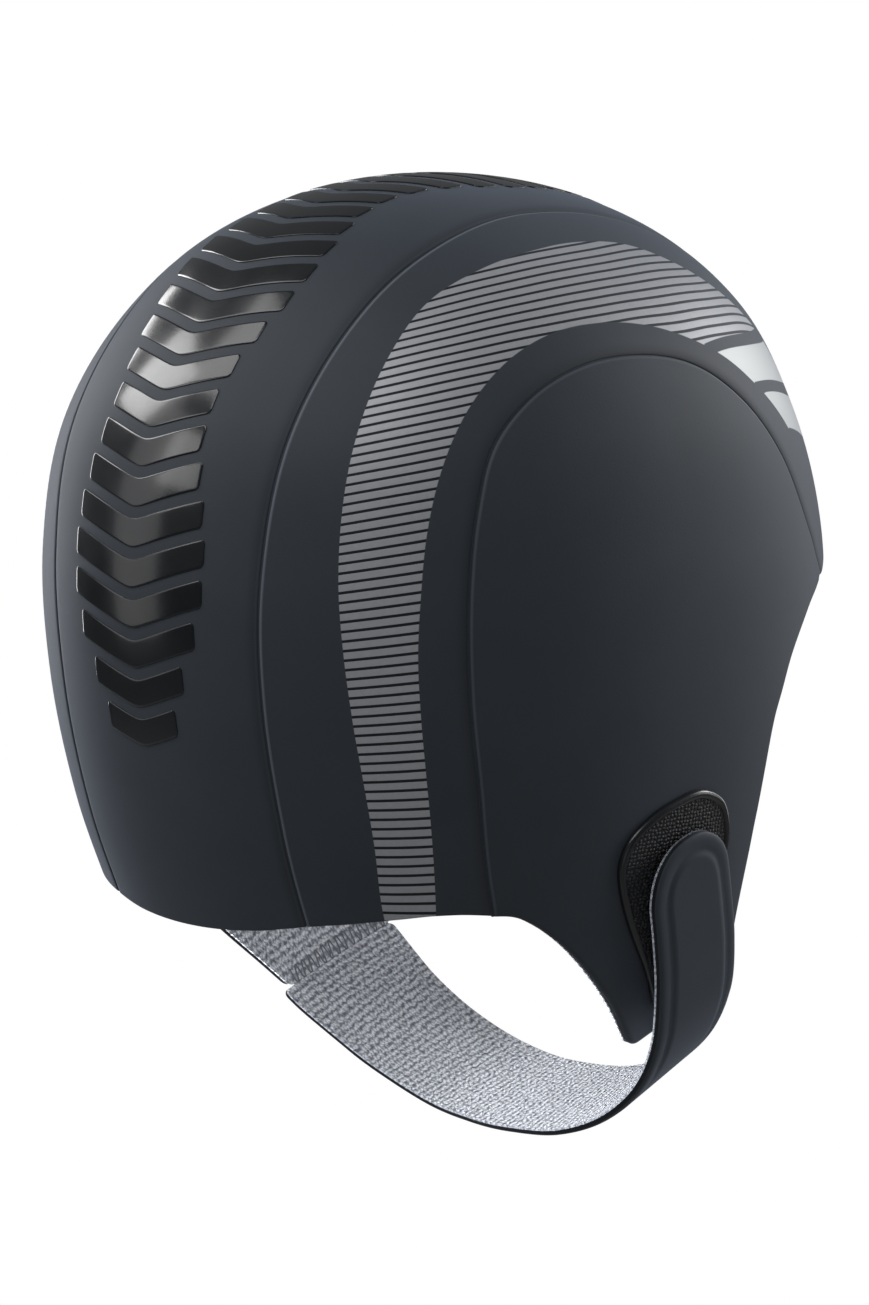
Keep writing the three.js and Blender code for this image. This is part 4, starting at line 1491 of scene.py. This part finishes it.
@dataclass(frozen=True)
class ChinStrap:
    """Strap from the left flap's foot under the chin to its round end on the right flap."""

    rows: Rows = (
        # middle of the outer face x, y, z, slope of the width in side view, width
        (60.6, -26.6, -196.6, 20, 36.8),
        (53, -30.5, -205.3, 20, 36.2),
        (44.5, -33.8, -213.1, 20, 35),
        (33.5, -36, -219.4, 20, 33.5),
        (19, -36, -223.8, 20, 32.5),
        (3, -33.3, -225, 20, 31.2),
        (-14.5, -29.2, -223.8, 20.4, 30.8),
        (-32, -25.8, -220.9, 21, 30.4),
        (-47.9, -23.3, -214.7, 21.7, 30),
        (-61, -20.9, -205, 22.3, 29.6),
        (-69.5, -17.8, -192.8, 23, 29.2),
        (-73.8, -14.2, -179.2, 22, 28.4),
        (-76.8, -9.4, -165.4, 21, 27.6),
        (-79.7, -3.8, -152.8, 20, 26.8),
        (-80.8, -1.2, -146.8, 20, 26.4),
    )
    sheet: float = 1.8
    lining_sheet: float = 0.5
    end_length: float = 14.0
    end_power: float = 2.1
    edge_scale: float = 14.0  # half width at which the edge steps have their own size
    first_steps: tuple[float, ...] = (0, 0.05, 0.15, 0.35, 0.7, 1.1, 1.6, 2.2, 3.0)
    last_steps: tuple[float, ...] = (
        0.01, 0.04, 0.1, 0.2, 0.34, 0.52, 0.75, 1.05, 1.4, 1.9, 2.5, 3.2, 4.0
    )
    start_blend: float = 22.0
    overlap: float = 2.4
    border_top: float = 1.6
    bare_seat: float = 0.5
    seat_from: float = -7.0  # height over the flap's foot where the seat begins to hold the strap
    seat_fade: float = 8.0
    pad_from: float = 2.0  # height over the foot where the seat begins to rise to the pad's border
    pad_fade: float = 12.0
    softness: float = 0.36
    outer_round: float = 0.8
    round_width: float = 1.9
    start_round: float = 0.4
    start_corner: float = 1.6
    welt_inset: float = 4.9
    welt_height: float = 0.35
    welt_step: float = 1.3
    welt_length: float = 74.0
    welt_fade: float = 24.0
    groove_depth: float = 0.16
    groove_width: float = 0.7
    under_round: float = 0.15
    lining_proud: float = 0.12
    proud_width: float = 0.9
    stations: int = 300

    def fields(self) -> list[Curve]:
        """Smooth curves of the rows' columns over the row number."""
        rows = np.array(self.rows, float)
        return [curve_through(np.arange(len(rows)), rows[:, k]) for k in range(5)]

    def middle(self, row: Array) -> Array:
        """Middle line at row numbers."""
        return np.stack([c(row) for c in self.fields()[:3]], -1)

    def frame_at(self, row: Array) -> tuple[Array, Array]:
        """Directions of the width and outwards at row numbers."""
        h = 0.02
        ahead = unit(self.middle(row + h) - self.middle(row - h))
        slope = np.radians(self.fields()[3](row))
        wide = np.stack([0 * slope, -np.cos(slope), np.sin(slope)], -1)
        wide = unit(wide - (wide * ahead).sum(-1, keepdims=True) * ahead)
        return wide, unit(np.cross(wide, ahead))

    def superellipse(self, *shares: Array) -> Array:
        """Sum of the shares to the end's power, brought back by its root."""
        return sum(share**self.end_power for share in shares) ** (1 / self.end_power)

    def end_reach(self, to_end: Array) -> Array:
        """Share of the half width at distances from the rounded end."""
        share = np.clip(to_end / self.end_length, 0, 1)
        return (1 - (1 - share) ** self.end_power) ** (1 / self.end_power)

    def seat(self) -> tuple[Array, Array, Array, Array]:
        """Grid of the innermost face.

        It starts along the left flap's foot, swings freely under the chin, and lies on the hook pad.
        A cross-section is a straight line along the width; its half width follows a rounded end and
        the rounded corners of the start.

        Returns:
            The places, the lengths run, the shares across from -1 to 1, and the half widths.
        """
        fields = self.fields()
        top = len(self.rows) - 1
        fine = np.linspace(0, top, 1500)
        run = run_along(self.middle(fine))
        whole = run[-1]
        start = SEAM_GAP * 0.3 + np.array(self.first_steps)
        end = whole - np.array(self.last_steps)[::-1]
        length = np.concatenate([start, np.linspace(3.9, whole - 4.9, self.stations), end])
        row = np.interp(length, run, fine)
        half = fields[4](row) / 2 * self.end_reach(whole - length)
        half = half - rounded(self.start_corner, self.start_corner, length)
        edge = np.array(EDGE_STEPS) / self.edge_scale
        inner = np.linspace(-1 + edge[-1], 1 - edge[-1], 27)[1:-1]
        share = np.concatenate([-1 + edge, inner, 1 - edge[::-1]])
        wide, out = self.frame_at(row)
        total = self.sheet + SEAM_GAP + self.lining_sheet
        p = self.middle(row)[:, None] + share[None, :, None] * half[:, None, None] * wide[:, None]
        p = p - total * out[:, None]
        flap = Flap(Hand.LEFT)
        first = np.array([0.0])
        first_wide, first_out = self.frame_at(first)
        first_width = fields[4](first)[0]
        begin = self.middle(first) + share[:, None] * first_wide * first_width / 2 - total * first_out
        t = mix(-self.overlap / first_width, 1, (share + 1) / 2)
        foot = HEAD.from_side_view(mix(flap.foot[0], flap.foot[1], t[:, None]), Hand.LEFT)
        on_flap = flap.tucked(foot - HEAD.normal(foot) * KNIT_BACK)
        blend = 1 - smooth(length / self.start_blend)
        p = p + blend[:, None, None] * (on_flap - begin)[None]
        return np.where(p[..., :1] < 0, self.seated(p), p), length, share, half

    def seated(self, p: Array) -> Array:
        """Places moved outwards until they lie at the strap's seat above the right flap or higher.

        The height above the flap and the seat's height are joined by a soft maximum. The seat is high
        over the hook pad, low over the flap's bare foot, and fades out below it.

        Args:
            p: places of the strap's inner face.

        Returns:
            The moved places.
        """
        flap = Flap(Hand.RIGHT)
        back, front = flap.foot
        rise = (front[1] - back[1]) / (front[0] - back[0])
        over_foot = p[..., 2] - back[1] - rise * (p[..., 1] - back[0])
        weight = smooth((over_foot - self.seat_from) / self.seat_fade)
        on_pad = smooth((over_foot - self.pad_from) / self.pad_fade)
        wanted = mix(self.bare_seat, self.border_top + SEAM_GAP, on_pad)
        q = p.copy()
        q[..., 0] -= flap.tuck(p[..., 2])
        n = HEAD.normal(q)
        steep = (HEAD.value(q + 0.1 * n) - HEAD.value(q)) / 0.1
        height = (HEAD.value(q) - 1) / steep
        over = height - wanted
        lifted = wanted + (over + np.sqrt(over * over + self.softness)) / 2
        return p + n * ((lifted - height) * weight)[..., None]

    @staticmethod
    def outward(grid: Array) -> Array:
        """Normals of the grid, from its steps along and across."""
        along = np.gradient(grid, axis=0)
        across = np.gradient(grid, axis=1)
        n = np.cross(across, along)
        size = np.linalg.norm(n, axis=-1, keepdims=True)
        n = np.where(size > 1e-9, n / np.maximum(size, 1e-12), 0)
        n[-2:] = n[-3]
        return unit(n)

    def parts(self) -> tuple[Body, Body]:
        """The strap's foam sheet and its knit lining.

        The foam's outer face is rounded at its edges, and a soft welt is pressed into it at one
        distance from the edge round the end, fading out towards the chin.

        Returns:
            The two closed bodies.
        """
        seat, length, share, half = self.seat()
        normal = self.outward(seat)
        whole = length[-1] + self.last_steps[0]
        toward = np.clip((length - (whole - self.end_length)) / self.end_length, 0, 1)[:, None]
        full = self.rows[-1][4] / 2
        across = np.abs(share)[None]
        level = self.superellipse(toward, across * self.end_reach(whole - length)[:, None])
        level = np.where(toward > 0, level, across)
        to_edge = np.maximum(np.where(toward > 0, full, half[:, None]) * (1 - level), 0)
        to_start = length[:, None] - length[0] + 0 * to_edge
        at_start = rounded(self.start_round, self.start_round, to_start)
        fall = np.maximum(rounded(self.outer_round, self.round_width, to_edge), at_start)
        fade = smooth((length - (whole - self.welt_length)) / self.welt_fade)[:, None]
        step = smooth((to_edge - self.welt_inset + 0.75) / self.welt_step)
        off_groove = (to_edge - self.welt_inset + 0.9) / self.groove_width
        raised = fade * (self.welt_height * step - self.groove_depth * np.exp(-(off_groove**2)))
        low = self.lining_sheet + SEAM_GAP * 0.1
        high = self.lining_sheet + SEAM_GAP + self.sheet - self.welt_height
        top = seat + normal * (high - fall + raised)[..., None]
        inward = share[None, :, None] * rounded(self.lining_proud, self.proud_width, to_edge)[..., None]
        middle = seat[:, len(share) // 2][:, None]
        pull = inward * unit(middle - seat) * np.sign(share)[None, :, None]
        bottom = low + rounded(self.under_round, self.under_round, to_edge)
        under = seat + pull + normal * bottom[..., None]
        foam = body_from_grids(top + pull, under, seam=cut_shade(np.minimum(to_edge, to_start)))
        uv = np.stack(np.broadcast_arrays(length[:, None], share[None] * half[:, None]), -1)
        lift = rounded(0.15, 0.2, np.minimum(to_edge, to_start))
        knit_top, knit_bottom = seat + normal * self.lining_sheet, seat + normal * lift[..., None]
        # the lining's hem gets painted shade
        return foam, body_from_grids(knit_top, knit_bottom, uv=uv, hem=painted_hem_shade(to_edge))

    def on_seat(self, length_at: Array, share_at: Array) -> tuple[Array, Array]:
        """Places and outward normals of the innermost face, blended from its grid's four near points.

        Args:
            length_at: lengths run from the strap's start.
            share_at: shares across, from -1 to 1.

        Returns:
            The places and the normals.
        """
        seat, length, share, _ = self.seat()
        normal = self.outward(seat)
        row = np.interp(length_at, length, np.arange(len(length)))
        col = np.interp(share_at, share, np.arange(len(share)))
        i = np.minimum(row.astype(int), len(length) - 2)
        j = np.minimum(col.astype(int), len(share) - 2)
        f, g = (row - i)[:, None], (col - j)[:, None]

        def between(v: Array) -> Array:
            """Blend of a grid's four near values."""
            return mix(mix(v[i, j], v[i + 1, j], f), mix(v[i, j + 1], v[i + 1, j + 1], f), g)

        return between(seat), unit(between(normal))


@dataclass(frozen=True)
class HookPad:
    """Drop-shaped patch of hook tape with a raised smooth border, on the outside of the right flap."""

    rows: Rows = (
        # side view y, z round the outline
        (-8, -136),
        (2, -138),
        (8, -140.6),
        (13.6, -145),
        (15.6, -151),
        (13.6, -158),
        (8.2, -167.6),
        (-0.4, -179.6),
        (-6.2, -187.4),
        (-10, -188.4),
        (-13, -182),
        (-17, -171),
        (-21.2, -160),
        (-22.3, -151),
        (-20.5, -144),
        (-16.5, -138.8),
    )
    section: Rows = (
        # share of the border's width from outside, share of its height
        (0, 0),
        (0, 0.35),
        (0.02, 0.52),
        (0.07, 0.7),
        (0.15, 0.84),
        (0.28, 0.95),
        (0.42, 1),
        (0.56, 1),
        (0.7, 0.97),
        (0.82, 0.9),
        (0.91, 0.8),
        (0.97, 0.7),
        (1, 0.6),
        (1, 0),
    )
    middle: tuple[float, float] = (-5.5, -153.0)
    border: float = 2.0
    border_top: float = 1.5
    border_bottom: float = 0.1
    tape_top: float = 1.05
    tape_bottom: float = 0.15
    tape_under: float = 0.35  # how far the tape reaches under the border
    points: int = 240
    evenings: int = 6

    def outline(self) -> tuple[Array, Array]:
        """Evenly spaced side-view outline and its inward directions.

        The closed Catmull-Rom curve through the rows, spaced by its length and smoothed a little.
        """
        rows = np.array(self.rows, float)
        count = len(rows)
        t = np.linspace(0, count, 2400, endpoint=False)
        i = t.astype(int)
        line = cubic_between(*(rows[(i + k) % count] for k in (-1, 0, 1, 2)), (t - i)[:, None])
        closed = np.vstack([line, line[:1]])
        run = run_along(closed)
        wanted = np.linspace(0, run[-1], self.points, endpoint=False)
        even = np.stack([np.interp(wanted, run, closed[:, k]) for k in (0, 1)], -1)
        for _ in range(self.evenings):
            even = (np.roll(even, 1, axis=0) + 2 * even + np.roll(even, -1, axis=0)) / 4
        way = unit(np.roll(even, -1, axis=0) - np.roll(even, 1, axis=0))
        return even, np.stack([way[:, 1], -way[:, 0]], -1)

    def over_flap(self, yz: Array, height: Array) -> Array:
        """Places at a height above the right flap, from their side view."""
        p = HEAD.from_side_view(yz, Hand.RIGHT)
        return Flap(Hand.RIGHT).tucked(p + HEAD.normal(p) * np.asarray(height)[..., None])

    def tape(self) -> Body:
        """The hook tape: rings from its middle to the border, its pattern in mm of the side view."""
        line, inward = self.outline()
        rim = line + inward * (self.border - self.tape_under)
        share = np.concatenate([np.linspace(0, 1, 16)[1:-1], [0.96, 0.985, 1]])
        centre = np.array(self.middle)
        yz = centre + share[:, None, None] * (rim - centre)[None]
        heights = (self.tape_top, self.tape_bottom)
        top, bottom = (self.over_flap(yz, np.full(yz.shape[:2], height)) for height in heights)
        tips = np.vstack([self.over_flap(centre[None], [height]) for height in heights])
        return body_from_rings(top, bottom, tips, uv=yz)

    def border_body(self) -> Body:
        """The border: a low rounded section carried round the outline, with a soft outer shoulder."""
        line, inward = self.outline()
        share, rise = np.array(self.section, float).T
        yz = line[None] + share[:, None, None] * self.border * inward[None]
        thick = self.border_top - self.border_bottom
        height = self.border_bottom + np.broadcast_to(rise[:, None], yz.shape[:2]) * thick
        points = self.over_flap(yz, height)
        rings, count = points.shape[:2]
        quads = grid_quads(rings, count, closed=True)
        k = np.arange(count)
        last = (rings - 1) * count
        under = np.stack([last + k, last + (k + 1) % count, (k + 1) % count, k], -1)
        return Body(points.reshape(-1, 3), np.vstack([quads, under])).turned_out()


@dataclass(frozen=True)
class ZigzagStitch:
    """Zigzag seam that joins the strap to the left flap, along the flap's foot."""

    legs: int = 26
    half_width: float = 2.0
    above: float = 1.9
    thread: float = 0.21
    leg_points: int = 10
    sharpness: float = 2.6
    end_margin: float = 1.2
    crossing: float = 0.5  # over which the thread passes from the strap to the flap
    flap_round: float = 0.55
    strap_round: float = 0.4

    def body(self, inside: bool) -> Body:
        """The thread on one face of the joint.

        Its distance from the foot's line is a triangle wave with rounded corners, moved up. Above the
        line it lies on the flap, and below it on the strap.

        Args:
            inside: whether it lies on the knit face rather than the outer one.

        Returns:
            The closed thread.
        """
        flap, strap = Flap(Hand.LEFT), ChinStrap()
        back, front = flap.foot
        along = unit(front - back)
        up = np.array([-along[1], along[0]])
        up = up * np.sign(up[1])
        t = np.linspace(0, self.legs, self.legs * self.leg_points + 1)
        wave = np.tanh(self.sharpness * (2 * np.abs(t % 2 - 1) - 1)) / np.tanh(self.sharpness)
        reach = wave * self.half_width + self.above
        length = np.linalg.norm(front - back)
        run = mix(self.end_margin, length - self.end_margin, t / self.legs)
        yz = back + run[:, None] * along + np.maximum(reach, 0)[:, None] * up
        on_flap = HEAD.from_side_view(yz, Hand.LEFT)
        normal = HEAD.normal(on_flap)
        lead = strap.overlap / strap.rows[0][4]
        share = 2 * (run / length + lead) / (1 + lead) - 1
        over_flap, over_strap = np.maximum(reach, 0), np.maximum(-reach, 0)
        on_strap, out = strap.on_seat(over_strap, share)
        if inside:
            flap_depth, strap_height = KNIT_BACK, 0.0
        else:
            flap_depth = rounded(self.flap_round, self.flap_round, over_flap)[:, None]
            fall = rounded(self.strap_round, self.strap_round, over_strap)
            strap_top = strap.lining_sheet + SEAM_GAP + strap.sheet - strap.welt_height
            strap_height = (strap_top - fall)[:, None]
        upper = flap.tucked(on_flap - normal * flap_depth)
        lower = on_strap + out * strap_height
        path = mix(lower, upper, smooth(reach / self.crossing + 0.5)[:, None])
        return tube(path, normal, self.thread)


@dataclass(frozen=True)
class SoftLight:
    """Rectangular studio light.

    Its place is in millimetres from the cap's middle: right, up and towards the camera.
    """

    name: str
    place: tuple[float, float, float]
    size: tuple[float, float]
    watts: float
    only_knit: bool = False


@dataclass(frozen=True)
class Shot:
    """Camera at the photograph's angle, lights, background and floor."""

    target: tuple[float, float, float] = (0.0, -1.69, -111.14)
    back: tuple[float, float, float] = (-0.6883, 0.7130, 0.1336)
    distance: float = 1100.0
    lens: float = 126.84
    floor_z: float = -620.0
    ambient: float = 0.12
    lights: tuple[SoftLight, ...] = (
        SoftLight("left_back", (-800, 300, -800), (300, 900), 5.0),
        SoftLight("left_side", (-1000, 200, 100), (300, 900), 0.6),
        SoftLight("left_mid", (-1000, 400, 350), (350, 350), 0.8),
        SoftLight("left_over", (-900, 700, -200), (350, 350), 2.0),
        SoftLight("left_top", (-700, 900, 250), (600, 400), 1.8),
        SoftLight("right_edge", (1000, 250, -200), (400, 900), 2.0),
        SoftLight("right_over", (900, 500, -450), (350, 350), 3.0),
        SoftLight("right_back", (800, 300, -800), (300, 900), 1.7),
        SoftLight("front_low", (200, -400, 1100), (900, 500), 0.5),
        SoftLight("front_top", (-200, 800, 800), (800, 500), 4.0),
        SoftLight("knit_left", (-900, 200, 300), (500, 400), 10.8, only_knit=True),
        SoftLight("knit_low_left", (-1000, -100, 0), (500, 400), 16.5, only_knit=True),
        SoftLight("knit_under", (-700, -500, 400), (500, 400), 6.2, only_knit=True),
        SoftLight("knit_front", (0, -600, 800), (500, 400), 9.6, only_knit=True),
    )

    def axes(self) -> tuple[Vector, Vector, Vector]:
        """Unit vectors to the right, up and towards the camera."""
        near = Vector(self.back).normalized()
        right = Vector((0, 0, 1)).cross(near).normalized()
        return right, near.cross(right), near

    def camera(self) -> None:
        """Places the camera."""
        data = bpy.data.cameras.new("camera")
        data.lens = self.lens
        data.sensor_width = 36.0
        data.clip_start, data.clip_end = 0.05, 60.0
        camera = in_scene("camera", data)
        near = self.axes()[2]
        camera.location = (Vector(self.target) + near * self.distance) * METRES
        camera.rotation_euler = (-near).to_track_quat("-Z", "Y").to_euler()
        bpy.context.scene.camera = camera

    def add_light(self, light: SoftLight) -> None:
        """Adds a soft light that looks at the cap."""
        data = bpy.data.lights.new(light.name, "AREA")
        data.shape = "RECTANGLE"
        data.size, data.size_y = (side * METRES for side in light.size)
        data.energy = light.watts
        lamp = in_scene(light.name, data)
        offset = sum((axis * amount for axis, amount in zip(self.axes(), light.place)), Vector())
        lamp.location = (Vector(self.target) + offset) * METRES
        lamp.rotation_euler = offset.to_track_quat("Z", "Y").to_euler()
        if light.only_knit:
            lit = bpy.data.collections.new("lit_by_" + light.name)
            lamp.light_linking.receiver_collection = lit

    def light_the_knit(self, pieces: Sequence[Piece]) -> None:
        """Links the pieces to the lights that are meant for the knit alone."""
        for light in self.lights:
            if light.only_knit:
                for piece in pieces:
                    bpy.data.collections["lit_by_" + light.name].objects.link(piece)

    @staticmethod
    def two_faced(owner: bpy.types.ID, seen: tuple, cast: tuple, output: str) -> None:
        """Gives a world or a material one shader to the camera and another to everything else.

        Args:
            owner: the world or material.
            seen: node type and inputs of the shader that the camera sees.
            cast: the same of the one that lights the cap.
            output: node type of the output.
        """
        owner.use_nodes = True
        owner.node_tree.nodes.clear()
        s = Shader(owner.node_tree)
        direct = s.node("ShaderNodeLightPath").outputs["Is Camera Ray"]
        others, camera = (s.node(kind, **inputs).outputs[0] for kind, inputs in (cast, seen))
        both = s.node("ShaderNodeMixShader", in0=direct, in1=others, in2=camera)
        s.node(output, in0=both.outputs[0])

    def world(self) -> None:
        """White background for the camera, and dimmer even light on the cap."""
        world = bpy.data.worlds.new("studio")
        bpy.context.scene.world = world
        self.two_faced(
            world,
            seen=("ShaderNodeBackground", {"in0": (1, 1, 1, 1), "in1": 1.0}),
            cast=("ShaderNodeBackground", {"in0": (0.94, 0.97, 1, 1), "in1": self.ambient}),
            output="ShaderNodeOutputWorld",
        )

    def floor(self) -> None:
        """Wide pale floor far below the cap, white to the camera."""
        mesh = bpy.data.meshes.new("floor")
        r, z = 30.0, self.floor_z * METRES
        mesh.from_pydata([(-r, -r, z), (r, -r, z), (r, r, z), (-r, r, z)], [], [(0, 1, 2, 3)])
        floor = in_scene("floor", mesh)
        pale = bpy.data.materials.new("pale_floor")
        self.two_faced(
            pale,
            seen=("ShaderNodeEmission", {"in0": (1, 1, 1, 1), "in1": 1.0}),
            cast=("ShaderNodeBsdfDiffuse", {"in0": (0.3, 0.3, 0.3, 1)}),
            output="ShaderNodeOutputMaterial",
        )
        mesh.materials.append(pale)

    def build(self) -> None:
        """Sets up the whole shot."""
        bpy.context.scene.view_settings.view_transform = "Standard"
        self.camera()
        self.world()
        self.floor()
        for light in self.lights:
            self.add_light(light)


def beside(seam: Curve, sign: int, gap: float) -> Curve:
    """A panel's edge along a seam, turned to one side and a gap in degrees away from it."""
    return lambda around: sign * (seam(around) + gap)


class SwimCap:
    """The whole cap."""

    def __init__(self, finishes: Finishes) -> None:
        """Keeps the materials."""
        self.finishes = finishes
        self.knit_pieces: list[Piece] = []

    def crown(self) -> None:
        """The middle panel with its lining and print."""
        panel = StripPanel(across=40)
        low, high = (beside(CUT.crown_seam, sign, -PANEL_GAP) for sign in (-1, 1))
        add_piece("crown_foam", panel.foam(low, high), self.finishes.foam, "crown_panel")
        add_piece("crown_lining", panel.lining(low, high), self.finishes.knit)
        add_piece("crown_print", CrownPrint().body(), self.finishes.print_gloss)

    def side(self, hand: Hand) -> None:
        """One side panel with its lining, the silver band and the glue of its two seams."""
        # painted highlight only on the edge along the crown seam
        panel = StripPanel(across=34, seam_widths=(0.8, 3.0), painted_highlights=(0.8, 0.0))
        low = beside(CUT.crown_seam, hand.value, PANEL_GAP)
        high = beside(CUT.ear_seam, hand.value, -PANEL_GAP)
        word, look = hand.word, self.finishes
        foam = panel.foam(low, high, Band().mark)
        add_piece(f"side_foam_{word}", foam, look.printed_foam, f"side_panel_{word}")
        add_piece(f"side_lining_{word}", panel.lining(low, high), look.knit)
        add_piece(f"crown_seam_{word}", SeamBead().crown(hand), look.glue)
        add_piece(f"ear_seam_{word}", SeamBead().ear(hand), look.glue)

    def ear(self, hand: Hand) -> None:
        """One ear panel with its flap and lining."""
        panel, word, look = EarPanel(hand), hand.word, self.finishes
        add_piece(f"ear_foam_{word}", panel.foam(), look.foam, f"ear_panel_{word}")
        face = add_piece(f"ear_lining_{word}", panel.lining(), look.knit)
        self.knit_pieces.append(face)

    def strap(self) -> None:
        """The chin strap with its lining and the zigzag seams at its start."""
        foam, lining = ChinStrap().parts()
        add_piece("strap_foam", foam, self.finishes.foam, "chin_strap")
        face = add_piece("strap_loop_face", lining, self.finishes.knit, "strap_lining")
        stitch = ZigzagStitch()
        inside = add_piece("zigzag_inside", stitch.body(True), self.finishes.thread)
        self.knit_pieces += [face, inside]
        add_piece("zigzag_outside", stitch.body(False), self.finishes.black_thread)

    def pad(self) -> None:
        """The hook tape and its border on the right flap."""
        pad, gloss = HookPad(), self.finishes.border_gloss
        add_piece("hook_tape", pad.tape(), self.finishes.hooks, "hook_pad")
        add_piece("hook_border", pad.border_body(), gloss, "hook_pad_border")

    def build(self) -> None:
        """Builds every sub-assembly in order."""
        self.crown()
        for hand in Hand:
            self.side(hand)
            self.ear(hand)
        self.strap()
        self.pad()


def main() -> None:
    """Builds the shot and the cap."""
    shot = Shot()
    shot.build()
    cap = SwimCap(Finishes.made())
    cap.build()
    shot.light_the_knit(cap.knit_pieces)


if __name__ == "__main__":
    main()
